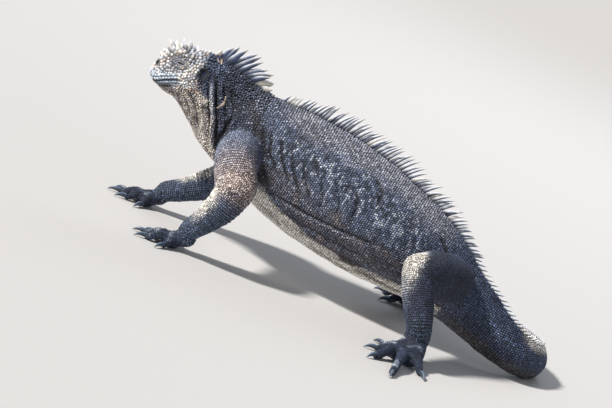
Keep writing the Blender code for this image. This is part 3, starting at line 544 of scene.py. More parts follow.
DIGITS = {  # root, where the claw touches the floor (x, y), height of the arch, radius
    "arm_left": (
        ((-0.1040, -0.0590, 0.0090), (-0.1170, -0.0370), 0.0120, 0.0050),
        ((-0.1110, -0.0620, 0.0090), (-0.1370, -0.0500), 0.0150, 0.0053),
        ((-0.1130, -0.0680, 0.0095), (-0.1460, -0.0680), 0.0160, 0.0054),
        ((-0.1110, -0.0740, 0.0090), (-0.1420, -0.0870), 0.0150, 0.0053),
        ((-0.1050, -0.0775, 0.0085), (-0.1180, -0.1000), 0.0120, 0.0050),
    ),
    "arm_right": (
        ((-0.1490, 0.0410, 0.0090), (-0.1590, 0.0190), 0.0120, 0.0050),
        ((-0.1560, 0.0440, 0.0090), (-0.1820, 0.0310), 0.0150, 0.0053),
        ((-0.1580, 0.0495, 0.0095), (-0.1920, 0.0480), 0.0160, 0.0054),
        ((-0.1560, 0.0555, 0.0090), (-0.1870, 0.0670), 0.0150, 0.0053),
        ((-0.1500, 0.0590, 0.0085), (-0.1640, 0.0810), 0.0120, 0.0050),
    ),
    "leg_left": (
        ((0.1380, -0.1050, 0.0120), (0.1140, -0.0840), 0.0145, 0.0056),
        ((0.1350, -0.1140, 0.0110), (0.1060, -0.1230), 0.0165, 0.0058),
        ((0.1370, -0.1220, 0.0105), (0.1120, -0.1570), 0.0175, 0.0060),
        ((0.1450, -0.1260, 0.0105), (0.1380, -0.1930), 0.0180, 0.0060),
        ((0.1570, -0.1180, 0.0115), (0.1720, -0.1500), 0.0155, 0.0056),
    ),
    "leg_right": (
        ((0.1310, 0.1040, 0.0120), (0.1080, 0.0850), 0.0145, 0.0056),
        ((0.1280, 0.1130, 0.0110), (0.1000, 0.1240), 0.0165, 0.0058),
        ((0.1300, 0.1210, 0.0105), (0.1040, 0.1560), 0.0175, 0.0060),
        ((0.1380, 0.1250, 0.0105), (0.1300, 0.1850), 0.0180, 0.0060),
        ((0.1500, 0.1170, 0.0115), (0.1650, 0.1510), 0.0155, 0.0056),
    ),
}
BODY_ROWS = body_rows()
fleshes = [body_flesh()]
for limb, stations in LIMBS.items():
    wrist_radius, palm = stations[-1][1], PALMS[limb]
    down = (*stations, (palm[0][0], wrist_radius * 0.95), (palm[1][0], wrist_radius * 0.72))
    fleshes.append(limb_flesh("upper_" + limb, stations, 0, 3, ("finish",)))
    fleshes.append(limb_flesh("lower_" + limb, down, 3, 8, ("start",)))
    fleshes.append(palm_flesh("palm_" + limb, palm))
    for number, digit in enumerate(DIGITS[limb], start=1):
        fleshes.append(digit_flesh(f"digit_{limb}_{number}", digit))


# Skin, the mesh: one soft skin stretched over all of those lengths, lying under the scales by their
# depth. The lengths are lofted, fused by a voxel remesh and relaxed, then the head is made finer.
COAT_DEPTH = 0.0006
VOXEL = 0.00218
ANGLES = 40


def mesh_piece(name, points, faces, finish):
    """A mesh object from points in the plan's frame and faces of equal count, set in its place."""
    data = bpy.data.meshes.new(name)
    corners = faces.shape[1]
    data.vertices.add(len(points))
    data.vertices.foreach_set("co", (points + np.array(HOME)).astype(np.float32).ravel())
    data.loops.add(faces.size)
    data.polygons.add(len(faces))
    data.polygons.foreach_set("loop_start", np.arange(0, faces.size, corners, dtype=np.int32))
    data.polygons.foreach_set("vertices", faces.astype(np.int32).ravel())
    data.update(calc_edges=True)
    data.validate()
    data.polygons.foreach_set("use_smooth", np.full(len(faces), True))
    data.materials.append(finish)
    made = bpy.data.objects.new(name, data)
    bpy.context.scene.collection.objects.link(made)
    return made


def tube_faces(rings, sides):
    """The triangles of a tube made of rings of points, closed by a flat fan at either end."""
    faces = []
    for ring in range(rings - 1):
        for k in range(sides):
            n = (k + 1) % sides
            low, high = ring * sides, (ring + 1) * sides
            faces += [(low + k, low + n, high + n), (low + k, high + n, high + k)]
    last = (rings - 1) * sides
    faces += [(last, last + k, last + k + 1) for k in range(1, sides - 1)]
    faces += [(0, k + 1, k) for k in range(1, sides - 1)]
    return np.array(faces)


def map_on(data, uv, faces):
    """Gives a mesh its place on the coat's map, from one (u, v) for each point."""
    layer = data.uv_layers.new(name="OFBake")
    layer.data.foreach_set("uv", uv[faces.ravel()].astype(np.float32).ravel())


def lengths_as_lofts():
    """Closed tubes of every length, as one heap of points, quads and end fans."""
    points, faces = [], []
    start = 0
    for flesh in fleshes:
        rings = max(8, int(flesh.arc[-1] / 0.0025))
        arcs = np.linspace(0, flesh.arc[-1], rings)
        turn = np.linspace(0, 2 * math.pi, ANGLES, endpoint=False)
        grid = flesh.point(np.repeat(arcs, ANGLES), np.tile(turn, rings), -COAT_DEPTH)
        ends = np.array([grid[:ANGLES].mean(0), grid[-ANGLES:].mean(0)])
        points.append(np.vstack([grid, ends]))
        k = np.arange(ANGLES)
        after = (k + 1) % ANGLES
        for ring in range(rings - 1):
            low, high = start + ring * ANGLES, start + (ring + 1) * ANGLES
            faces += list(zip(low + k, high + k, high + after, low + after))
        first, last = start + rings * ANGLES, start + rings * ANGLES + 1
        faces += [(first, start + a, start + b) for a, b in zip(k, after)]
        top = start + (rings - 1) * ANGLES
        faces += [(last, top + b, top + a) for a, b in zip(k, after)]
        start += len(grid) + 2
    return np.vstack(points), faces


heap, heap_faces = lengths_as_lofts()
data = bpy.data.meshes.new("skin")
heap_faces = [tuple(int(corner) for corner in face) for face in heap_faces]
data.from_pydata((heap + np.array(HOME)).tolist(), [], heap_faces)
skin = bpy.data.objects.new("skin", data)
bpy.context.scene.collection.objects.link(skin)
bpy.ops.object.select_all(action="DESELECT")
bpy.context.view_layer.objects.active = skin
skin.select_set(True)
bpy.ops.object.mode_set(mode="EDIT")
bpy.ops.mesh.select_all(action="SELECT")
bpy.ops.mesh.normals_make_consistent(inside=False)
bpy.ops.object.mode_set(mode="OBJECT")
step = skin.modifiers.new("fuse", "REMESH")
step.mode = "VOXEL"
step.voxel_size = VOXEL
bpy.ops.object.modifier_apply(modifier="fuse")

HEAD_END, HEAD_LOW = -0.122, 0.09  # x and z of the lines behind and below which no finer mesh is needed
work = bmesh.new()
work.from_mesh(skin.data)
fine = {edge for face in work.faces if face.calc_center_median().x < HEAD_END + HOME.x
        and face.calc_center_median().z > HEAD_LOW for edge in face.edges}
bmesh.ops.subdivide_edges(work, edges=list(fine), cuts=2, use_grid_fill=True)
bmesh.ops.triangulate(work, faces=[face for face in work.faces if len(face.verts) > 4])
work.to_mesh(skin.data)
work.free()


def read_points(data):
    flat = np.empty(len(data.vertices) * 3, np.float32)
    data.vertices.foreach_get("co", flat)
    return flat.reshape(-1, 3).astype(float) - np.array(HOME)


def read_edges(data):
    flat = np.empty(len(data.edges) * 2, np.int32)
    data.edges.foreach_get("vertices", flat)
    return flat.reshape(-1, 2)


def relax(points, edges, amount, rounds):
    """Draws each point towards the middle of its neighbours and back, so that it shrinks little."""
    a, b = edges.T
    count = np.bincount(a, minlength=len(points)) + np.bincount(b, minlength=len(points))
    for turn in range(rounds * 2):
        total = np.zeros_like(points)
        for k in range(3):
            total[:, k] = np.bincount(a, points[b, k], len(points))
            total[:, k] += np.bincount(b, points[a, k], len(points))
        pull = total / count[:, None] - points
        points = points + pull * (amount if turn % 2 == 0 else -amount * 0.96)[:, None]
    return points


def normals_of(data, points):
    data.vertices.foreach_set("co", (points + np.array(HOME)).astype(np.float32).ravel())
    data.update()
    flat = np.empty(len(points) * 3, np.float32)
    data.vertex_normals.foreach_get("vector", flat)
    return flat.reshape(-1, 3).astype(float)


def search_tree(points):
    tree = kdtree.KDTree(len(points))
    for i, point in enumerate(points.tolist()):
        tree.insert(point, i)
    tree.balance()
    return tree


def survey():
    """Sample points over every length, with the length's number and the distance along it."""
    points, owner, arcs = [], [], []
    for number, flesh in enumerate(fleshes):
        rings = max(6, int(flesh.arc[-1] / 0.002))
        around = 48 if number == 0 else 24
        arc = np.repeat(np.linspace(0, flesh.arc[-1], rings), around)
        angle = np.tile(np.linspace(0, 2 * math.pi, around, endpoint=False), rings)
        points.append(flesh.point(arc, angle, -COAT_DEPTH))
        owner.append(np.full(len(arc), number))
        arcs.append(arc)
    return np.vstack(points), np.concatenate(owner), np.concatenate(arcs)


samples, sample_owner, sample_arc = survey()
sample_tree = search_tree(samples)


class Chart:
    """Where points of the skin lie on the body: which length, how far along, and round what angle."""

    def __init__(self, points):
        found = np.array([sample_tree.find(point)[1] for point in points.tolist()])
        self.owner = sample_owner[found]
        self.arc = sample_arc[found].copy()
        self.angle = np.zeros(len(points))
        self.place = np.zeros(len(points))
        self.points = points
        for number, flesh in enumerate(fleshes):
            mine = self.owner == number
            if mine.any():
                arc, angle = flesh.locate(points[mine], self.arc[mine])
                self.arc[mine], self.angle[mine] = arc, angle
                self.place[mine] = np.interp(arc, flesh.arc, flesh.place)


points = read_points(skin.data)
edges = read_edges(skin.data)
everywhere = np.full(len(points), 0.55)
points = relax(points, edges, everywhere, 3)


def nearness_to_roots(points):
    """1 where a limb leaves the trunk, for a softer hollow there."""
    near = np.zeros(len(points))
    for limb, stations in LIMBS.items():
        reach = 0.026 if limb.startswith("arm") else 0.030
        root = np.array(stations[1][0])
        near = np.maximum(near, 1 - ease(reach * 0.8, reach * 1.5, np.linalg.norm(points - root, axis=1)))
    return near


points = relax(points, edges, 0.6 * nearness_to_roots(points), 14)


# Skin, the modelling: eyelids over the eyeballs, nostrils, the mouth line between its lips, ear
# drums, and the loose folds of neck, shoulder and flank. Each is a line or a point in side view.
def beside(points, line):
    """Distance in side view from a line of (x, z), positive above or ahead of it, and the share along."""
    flat = points[:, (0, 2)]
    line = np.array(line)
    lengths = np.linalg.norm(np.diff(line, axis=0), axis=1)
    starts = np.concatenate([[0], np.cumsum(lengths)])
    best = np.full(len(flat), 1e9)
    signed, share = np.zeros(len(flat)), np.zeros(len(flat))
    for i in range(len(line) - 1):
        run = (line[i + 1] - line[i]) / lengths[i]
        off = flat - line[i]
        t = np.clip(off @ run, 0, lengths[i])
        gap = off - t[:, None] * run
        away = np.linalg.norm(gap, axis=1)
        nearer = away < best
        best = np.where(nearer, away, best)
        above = np.where(run[0] * off[:, 1] - run[1] * off[:, 0] < 0, -1, 1)
        signed = np.where(nearer, away * above, signed)
        share = np.where(nearer, (starts[i] + t) / starts[-1], share)
    return signed, share


def bell(value, width):
    return np.exp(-((value / width) ** 2))


def grain(points, size, seed=0):
    """Smooth noise from -1 to 1, whose lumps are about size across."""
    p = points / size + 31.7 + seed * 7.31
    cell = np.floor(p).astype(np.int64)
    f = p - cell
    f = f * f * (3 - 2 * f)
    total = np.zeros(len(points))
    for corner in range(8):
        d = np.array((corner & 1, corner >> 1 & 1, corner >> 2))
        c = cell + d
        h = (c[:, 0] * 73856093) ^ (c[:, 1] * 19349663) ^ (c[:, 2] * 83492791) ^ (seed * 9176 + 11)
        h = ((h ^ (h >> 13)) * 1274126177) & 0x7FFFFFFF
        total += ((h ^ (h >> 15)) % 20011 / 10005.0 - 1) * np.prod(np.where(d, f, 1 - f), axis=1)
    return total


EYE_RADIUS = 0.0062
EYE_OPEN = (0.0042, 0.0016)  # half length and half height between the lids
LID_RADIUS = 0.0074
NOSTRIL = (-0.1916, 0.1516)
EAR = (-0.1446, 0.1618)
MOUTH = ((-0.2000, 0.1333), (-0.1908, 0.1334), (-0.1850, 0.1362), (-0.1780, 0.1402), (-0.1710, 0.1440),
         (-0.1642, 0.1474))
FOLDS = (  # line in side view, width, height; below zero is a crease
    (((-0.1365, 0.1620), (-0.1273, 0.1435), (-0.1182, 0.1250), (-0.1110, 0.1060), (-0.1076, 0.0910)),
     0.0014, 0.0019),
    (((-0.1395, 0.1600), (-0.1300, 0.1415), (-0.1212, 0.1240), (-0.1140, 0.1060)), 0.0013, -0.0015),
    (((-0.1335, 0.1640), (-0.1236, 0.1452), (-0.1152, 0.1265), (-0.1085, 0.1080), (-0.1050, 0.0910)),
     0.0016, -0.0024),
    (((-0.1270, 0.1640), (-0.1190, 0.1480), (-0.1100, 0.1310)), 0.0016, 0.0013),
    (((-0.1230, 0.1620), (-0.1150, 0.1460), (-0.1060, 0.1290)), 0.0015, -0.0015),
    (((-0.1150, 0.1620), (-0.1080, 0.1500), (-0.1000, 0.1370)), 0.0015, -0.0014),
    (((-0.1560, 0.1380), (-0.1440, 0.1220), (-0.1330, 0.1090)), 0.0013, -0.0010),
    (((-0.1500, 0.1430), (-0.1380, 0.1260), (-0.1260, 0.1080)), 0.0013, -0.0011),
    (((-0.1450, 0.1480), (-0.1330, 0.1300), (-0.1200, 0.1070)), 0.0013, 0.0009),
    (((-0.1560, 0.1290), (-0.1420, 0.1150), (-0.1320, 0.1040)), 0.0010, 0.0005),
    (((-0.1015, 0.1400), (-0.1040, 0.1180), (-0.1060, 0.0980)), 0.0017, -0.0022),
    (((-0.0965, 0.1420), (-0.0995, 0.1230)), 0.0022, 0.0014),
    (((-0.1180, 0.1580), (-0.0960, 0.1530)), 0.0014, -0.0010),
    (((-0.1050, 0.1620), (-0.0900, 0.1600), (-0.0760, 0.1560)), 0.0018, 0.0014),
    (((-0.0920, 0.1540), (-0.0780, 0.1490)), 0.0026, 0.0010),
    (((-0.0860, 0.1460), (-0.0780, 0.1330), (-0.0700, 0.1180)), 0.0018, 0.0013),
    (((-0.0790, 0.1380), (-0.0700, 0.1240), (-0.0600, 0.1120)), 0.0019, -0.0018),
    (((-0.0700, 0.1420), (-0.0600, 0.1230), (-0.0490, 0.1110)), 0.0019, -0.0021),
    (((-0.0610, 0.1420), (-0.0520, 0.1200), (-0.0390, 0.1060)), 0.0018, -0.0018),
    (((-0.0500, 0.1400), (-0.0380, 0.1170), (-0.0220, 0.1010)), 0.0019, -0.0019),
    (((-0.0370, 0.1360), (-0.0230, 0.1120), (-0.0080, 0.0960)), 0.0019, -0.0015),
    (((-0.0210, 0.1290), (-0.0070, 0.1080), (0.0040, 0.0950)), 0.0020, -0.0011),
    (((0.0510, 0.1400), (0.0640, 0.1290), (0.0650, 0.1130)), 0.0022, -0.0013),
    (((0.0400, 0.1250), (0.0470, 0.1080), (0.0450, 0.0940)), 0.0020, -0.0013),
    (((0.0210, 0.1190), (0.0300, 0.1040), (0.0310, 0.0900)), 0.0020, -0.0012),
    (((0.0040, 0.1180), (0.0120, 0.1030), (0.0150, 0.0900)), 0.0019, -0.0010),
    (((-0.0560, 0.0850), (-0.0130, 0.0825), (0.0300, 0.0812), (0.0840, 0.0826), (0.1000, 0.0820)),
     0.0022, -0.0010),
    (((-0.0540, 0.0805), (-0.0130, 0.0782), (0.0300, 0.0768), (0.0840, 0.0780)), 0.0022, 0.0009),
    (((-0.0400, 0.0730), (0.0000, 0.0690), (0.0400, 0.0660), (0.0800, 0.0670)), 0.0018, -0.0007),
    (((-0.0300, 0.0640), (0.0200, 0.0580), (0.0700, 0.0560)), 0.0018, -0.0006),
    (((0.1330, 0.1130), (0.1480, 0.0970), (0.1560, 0.0800)), 0.0026, -0.0012),
)


def folds_at(points, normals, on_body):
    """How far the loose skin stands out or sinks at points, in metres."""
    lift = np.zeros(len(points))
    reach = np.abs(normals[:, 1]) ** 0.5 * ease(0.008, 0.016, np.abs(points[:, 1])) * on_body
    for line, width, height in FOLDS:
        gap, share = beside(points, line)
        if len(line) > 2:
            ends = ease(0.0, 0.22, share) * (1 - ease(0.78, 1.0, share))
        else:
            ends = bell(share - 0.5, 0.35)
        waver = gap + 0.0012 * grain(points, 0.012, 3)
        lift += 1.5 * height * bell(waver, width) * ends * reach
    return lift


def model_head(points, normals):
    """Moves the skin of the head and the folds into shape."""
    out = points.copy()
    away = np.abs(points[:, 1])
    flank = ease(0.004, 0.009, away) * ease(0.05, 0.40, np.abs(normals[:, 1]))
    lift = np.zeros(len(points))
    dx, dz = points[:, 0] - EYE.x, points[:, 2] - EYE.z
    mouth, along = beside(points, MOUTH)
    on_head = 1 - ease(-0.150, -0.140, points[:, 0])
    inside = 1 - ease(0.90, 1.0, along)
    wavy = mouth + 0.0005 * grain(points, 0.0045, 9)
    lift -= 0.0011 * bell(wavy, 0.0005 + 0.0003 * along * inside) * (0.15 + 0.85 * inside) * on_head
    lift += 0.0009 * bell(mouth - 0.0050, 0.0036) * inside * on_head
    lift += 0.0004 * bell(mouth + 0.0026, 0.0017) * inside * on_head
    lift -= 0.0014 * bell(mouth + 0.0060, 0.0014) * inside * on_head * flank
    lift += 0.0013 * bell(np.hypot(points[:, 0] + 0.1640, points[:, 2] - 0.1400), 0.0042) * flank
    lift += 0.0012 * bell(np.hypot(points[:, 0] + 0.1570, points[:, 2] - 0.1435), 0.0065) * flank
    brow, _ = beside(points, ((-0.1865, 0.1600), (-0.1800, 0.1672), (-0.1690, 0.1712), (-0.1590, 0.1700)))
    lift += 0.0017 * bell(brow, 0.0020) * on_head * flank
    groove, _ = beside(points, ((-0.1572, 0.1764), (-0.1582, 0.1718), (-0.1601, 0.1650)))
    lift -= 0.0010 * bell(groove, 0.0012) * on_head * flank
    jaw, _ = beside(points, ((-0.1464, 0.1755), (-0.1490, 0.1698), (-0.1517, 0.1634), (-0.1530, 0.1562)))
    lift += 0.0013 * bell(jaw, 0.0022) * flank
    socket, _ = beside(points, ((-0.1800, 0.1590), (-0.1700, 0.1545), (-0.1600, 0.1585)))
    lift -= 0.0009 * bell(socket, 0.0022) * on_head * flank
    nose = np.hypot(points[:, 0] - NOSTRIL[0], points[:, 2] - NOSTRIL[1])
    lift += 0.0014 * bell(nose, 0.0034) * ease(0.002, 0.006, away)
    slot = np.hypot((points[:, 0] - NOSTRIL[0] + 0.0004) / 0.0016, (points[:, 2] - NOSTRIL[1]) / 0.0030)
    lift -= 0.0034 * (1 - ease(0.55, 1.25, slot)) * ease(0.003, 0.006, away)
    drum = np.hypot(points[:, 0] - EAR[0], (points[:, 2] - EAR[1]) / 1.15)
    lift += flank * (0.0008 * bell(drum - 0.0052, 0.0012) - 0.0015 * (1 - ease(0.0024, 0.0046, drum)))
    lift += folds_at(points, normals, chart.owner == 0)
    out += normals * lift[:, None]
    shut = on_head * ease(0.0004, 0.0050, -mouth) * ease(-0.176, -0.190, points[:, 0])
    out[:, 0] += 0.0042 * shut
    ring = np.hypot(dx / 1.12, dz / 0.98)
    ball = abs(EYE.y) + np.sqrt(np.maximum(LID_RADIUS**2 - ring**2, 0))
    near = (ring < LID_RADIUS) & (np.abs(normals[:, 1]) > 0.3)
    level = np.abs(out[:, 1])
    blend = 0.0012
    mixed = 0.5 * (level + ball + np.sqrt((level - ball) ** 2 + blend**2)) - blend * 0.25
    level = np.where(near, mixed, level)
    almond = (dx / (EYE_OPEN[0] + 0.0004)) ** 2 + (dz / (EYE_OPEN[1] + 0.0003)) ** 2
    level = np.where(near, level + (abs(EYE.y) + 0.0022 - level) * (1 - ease(0.55, 1.15, almond)), level)
    out[:, 1] = np.where(near, np.sign(points[:, 1]) * level, out[:, 1])
    return out


chart = Chart(points)
normals = normals_of(skin.data, points)
points = model_head(points, normals)
arm_crease = (chart.place > 2.4) & (chart.place < 4.4) & (chart.owner > 0) & (points[:, 0] < 0)
normals = normals_of(skin.data, points)
crease_depth, crease_gap = 0.0004, 0.0042
creases = np.sin(chart.arc * 2 * math.pi / crease_gap) * arm_crease
points += normals * (crease_depth * creases)[:, None]
points += normals * (0.0005 * grain(points, 0.009, 5))[:, None]
digits = np.array([flesh.name.startswith(("palm", "digit")) for flesh in fleshes])[chart.owner]
points -= normals * (0.0010 * digits * ease(-0.6, 0.1, normals[:, 2]))[:, None]
points[:, 2] = np.maximum(points[:, 2], 0.0006)
normals = normals_of(skin.data, points)


# Skin, the markings: pale, weathered horn on the head, a cream throat and belly with dark stains,
# slate flanks with a paler band under the crest, cream knees, tan elbows and blue-grey feet, and
# painted light: shade in creases, grooves, the nostril, the armpit and on the limbs' far sides, and
# highlights on fold ridges, knees, feet and the tail's top past its bend, with a brightened belly.
def srgb(red, green, blue):
    """A colour from its screen values, 0 to 255, as the shader's light values."""
    share = np.array((red, green, blue)) / 255
    return np.where(share <= 0.04, share / 12.92, ((share + 0.055) / 1.055) ** 2.4)


CREAM = srgb(216, 209, 197)
BONE = srgb(180, 179, 183)
SHELL_BLUE = srgb(182, 194, 208)
SLATE = srgb(71, 80, 101)
DEEP = srgb(38, 46, 68)
BACK_BAND = srgb(130, 131, 140)
UMBER = srgb(92, 84, 82)
# Dark for the real stains and the mouth seam, and for painted shade in creases, grooves and the armpit.
STAIN_AND_SHADE = srgb(40, 35, 36)
SAND = srgb(168, 156, 148)
TAN = srgb(174, 152, 142)
STEEL = srgb(54, 65, 84)
ASH = srgb(128, 133, 146)
NAPE_DARK = srgb(43, 47, 60)
SHADED_LOWER_LIP, LIP_NICK, LIP_SHADOW = srgb(146, 160, 178), srgb(66, 72, 86), srgb(52, 28, 28)
LID_GREY = srgb(120, 124, 134)
NOSTRIL_SHADE = srgb(22, 18, 18)
EAR_RIM, EAR_DRUM = srgb(26, 30, 44), srgb(50, 74, 114)
ARM_BLUE = srgb(104, 113, 134)
FOOT_BLUE = srgb(33, 42, 62)
PALE_EDGE = ((-0.1480, 0.1900), (-0.1490, 0.1657), (-0.1505, 0.1552), (-0.1445, 0.1480),
             (-0.1370, 0.1430), (-0.1270, 0.1370), (-0.1130, 0.1080), (-0.0990, 0.0780))
JAW_EDGE = ((-0.2000, 0.1262), (-0.1760, 0.1330), (-0.1640, 0.1400), (-0.1510, 0.1495), (-0.1380, 0.1560))
BELLY_EDGE = ((-0.0700, 0.0830), (-0.0430, 0.0800), (-0.0200, 0.0690), (0.0060, 0.0590), (0.0400, 0.0530),
              (0.0800, 0.0510), (0.1300, 0.0470))
ARMPIT_SHADOW = ((-0.0900, 0.1530), (-0.0780, 0.1420), (-0.0660, 0.1280), (-0.0560, 0.1100))
GROOVE = ((-0.1572, 0.1764), (-0.1582, 0.1718), (-0.1601, 0.1650), (-0.1640, 0.1600))
POUCH = ((-0.1790, 0.1585), (-0.1700, 0.1550), (-0.1620, 0.1590))


def over(below, colour, mask):
    return below + (np.asarray(colour) - below) * mask[:, None]


def markings(spot, points, normals):
    """The colour of the skin at charted points, with painted shade and painted highlights in places."""
    x, z = points[:, 0], points[:, 2]
    v = np.degrees(np.abs(spot.angle))
    place = spot.place
    coarse = grain(points, 0.022, 11)
    lumps = grain(points, 0.0075, 12)
    fine = grain(points, 0.0030, 13)
    body = spot.owner == 0
    trunk = body & (place < 20.5)
    colour = np.tile(SLATE, (len(points), 1))
    wander = 9 * coarse + 5 * lumps
    nape = ease(7.2, 8.2, place) * (1 - ease(10.6, 11.8, place))
    colour = over(colour, NAPE_DARK, nape * trunk * 0.80)
    band = (1 - ease(34, 56, v + wander)) * ease(10.8, 12.5, place) * (1 - ease(18.0, 20.0, place))
    colour = over(colour, BACK_BAND, band * trunk * (0.65 + 0.35 * fine))
    shoulder = bell(np.hypot(x + 0.082, z - 0.156), 0.010)
    colour = over(colour, ASH, trunk * shoulder * (0.35 + 0.4 * fine))
    flank = trunk * ease(84, 100, v + wander) * ease(10.5, 12.0, place)
    colour = over(colour, UMBER, flank * (0.45 + 0.4 * lumps))
    streaks = grain(points * np.array((0.30, 1.0, 1.0)), 0.0060, 14)
    below, _ = beside(points, BELLY_EDGE)
    under = 1 - ease(-0.0030, 0.0040, below + 0.0045 * coarse + 0.0030 * streaks)
    under = np.maximum(under, ease(138, 150, v)) * trunk * ease(9.2, 10.2, place)
    # The belly's own cream, brightened past it as painted light on the down-facing underside.
    colour = over(colour, CREAM * 1.40, under * (0.95 - 0.20 * np.abs(streaks)))
    blots = ease(0.08, 0.42, 0.7 * coarse + 0.7 * streaks) * bell(below + 0.002, 0.013)
    colour = over(colour, STAIN_AND_SHADE, trunk * blots * ease(10.5, 12, place) * ease(92, 104, v) * 0.85)
    flecks = grain(points * np.array((1.0, 1.0, 0.40)), 0.0026, 15)
    ribs = trunk * ease(11.2, 12.4, place) * (1 - ease(17.5, 19.5, place)) * bell(v - 68, 24)
    colour = colour * (1 - 0.70 * ribs * ease(0.0, 0.5, -flecks))[:, None]
    colour = over(colour, ASH * 1.35, ribs * ease(0.12, 0.55, flecks) * 0.80)
    # Painted shadow in the armpit and along the trunk behind the upper arm.
    armpit_shadow = bell(np.hypot(x + 0.051, z - 0.098), 0.012) * trunk
    hollow, _ = beside(points, ARMPIT_SHADOW)
    colour = over(colour, STAIN_AND_SHADE, np.maximum(armpit_shadow, bell(hollow, 0.0045) * trunk * 0.8) * 0.85)
    tail = body * ease(19.5, 22.0, place)
    colour = over(colour, DEEP, tail * (0.80 + 0.2 * coarse))
    hip = bell(np.hypot(x - 0.158, z - 0.070), 0.032) * trunk
    colour = over(colour, DEEP, hip * 0.8)
    colour = over(colour, UMBER * 0.5, tail * ease(105, 135, v + wander) * 0.80)
    colour = over(colour, STEEL * 1.35, tail * bell(v - 74, 14) * 0.6)
    # Painted sunlight: the top of the tail past its bend is painted pale cream.
    lit_tail_top = tail * ease(23.6, 25.0, place)
    lit_tail_top = lit_tail_top * (1 - ease(30, 62, v)) * (1 - ease(27, 31, place))
    colour = over(colour, CREAM, lit_tail_top * (0.80 + 0.2 * lumps))
    edge, _ = beside(points, PALE_EDGE)
    front = ease(-0.0035, 0.0035, -edge + 0.004 * coarse + 0.0025 * lumps) * trunk
    jaw, _ = beside(points, JAW_EDGE)
    throat = front * (1 - ease(-0.0020, 0.0020, jaw + 0.0015 * lumps))
    throat = np.maximum(throat, front * ease(7.0, 7.8, place))
    head = front - throat
    colour = over(colour, SAND * 1.10, throat * (0.92 + 0.08 * fine))
    colour = over(colour, CREAM, throat * ease(0.0, 0.6, lumps + 0.5 * fine) * 0.55)
    colour = over(colour, UMBER, throat * ease(0.25, 0.8, -lumps - 0.5 * fine) * 0.6)
    colour = over(colour, BONE, head)
    colour = over(colour, CREAM, head * ease(0.0, 0.6, lumps) * 0.6)
    colour = over(colour, ASH, head * ease(0.15, 0.7, -lumps - 0.4 * fine) * 0.55)
    mouth, along = beside(points, MOUTH)
    brim = np.interp(along, (0.0, 0.3, 0.7, 1.0), (0.0115, 0.0100, 0.0078, 0.0040))
    lips = ease(-0.0052, -0.0040, mouth) * (1 - ease(-0.0010, 0.0012, mouth - brim))
    lips = lips * (1 - ease(0.92, 1.0, along))
    colour = over(colour, SHELL_BLUE * 1.2, front * lips * (x < -0.15) * (0.90 + 0.1 * fine))
    nicks = bell(mouth - 0.0062, 0.0009) * ease(0.05, 0.4, fine + 0.4 * lumps) * (along < 0.75)
    colour = over(colour, LIP_NICK, front * lips * nicks * 0.8)
    # The lower lip's blue-grey, darker than the upper lip as painted shade under its overhang.
    colour = over(colour, SHADED_LOWER_LIP, lips * (mouth < 0) * (x < -0.15) * body * 0.85)
    wavy = mouth + 0.0005 * grain(points, 0.0045, 9)
    line = bell(wavy, 0.0005 + 0.0003 * along) * (1 - ease(0.97, 1.0, along)) * (x < -0.15)
    colour = over(colour, STAIN_AND_SHADE * 0.8, front * line * 0.9)
    under = bell(mouth + 0.0060, 0.0014) * (1 - ease(0.6, 0.9, along)) * (x < -0.15)
    colour = over(colour, LIP_SHADOW, front * under)
    lids = np.hypot((x - EYE.x) / 0.0105, (z - EYE.z) / 0.0068)
    round_eye = 1 - ease(0.75, 1.15, lids + 0.12 * lumps)
    colour = over(colour, LID_GREY, head * round_eye * (0.55 + 0.35 * fine))
    # Painted shade in the groove behind the eye and the hollow below it.
    gaps = bell(np.minimum(np.abs(beside(points, GROOVE)[0]), np.abs(beside(points, POUCH)[0])), 0.0009)
    colour = over(colour, STAIN_AND_SHADE, head * gaps * 0.75)
    # Painted shade inside the nostril.
    slot = np.hypot((x - NOSTRIL[0] + 0.0004) / 0.0017, (z - NOSTRIL[1]) / 0.0031)
    colour = over(colour, NOSTRIL_SHADE, (1 - ease(0.65, 1.15, slot)) * (place < 4) * body)
    drum = np.hypot(x - EAR[0], (z - EAR[1]) / 1.15)
    sides = trunk * (np.abs(points[:, 1]) > 0.012)
    # A pale crest on the first neck fold, partly its own pale skin and partly painted highlight; painted
    # shade in the deepest neck crease.
    ridge, _ = beside(points, FOLDS[0][0])
    colour = over(colour, BONE, bell(ridge, 0.0013) * sides * ease(7.0, 7.6, place) * 0.75)
    shade, _ = beside(points, FOLDS[2][0])
    colour = over(colour, STAIN_AND_SHADE * 0.5, bell(shade, 0.0017) * sides * 0.85)
    near_ear = body * (place < 9)
    colour = over(colour, EAR_RIM, (1 - ease(0.0050, 0.0085, drum)) * near_ear * (x > -0.151) * 0.85)
    colour = over(colour, EAR_DRUM, (1 - ease(0.0018, 0.0029, drum)) * near_ear)
    limb = ~body
    arm = limb & (x < 0)
    leg = limb & (x >= 0)
    outer = ease(-0.2, 0.6, np.sign(points[:, 1]) * normals[:, 1])
    name_upper = UPPER[spot.owner]
    name_lower = LOWER[spot.owner]
    name_foot = FOOT[spot.owner]
    colour = over(colour, ARM_BLUE, arm * name_upper * 0.85)
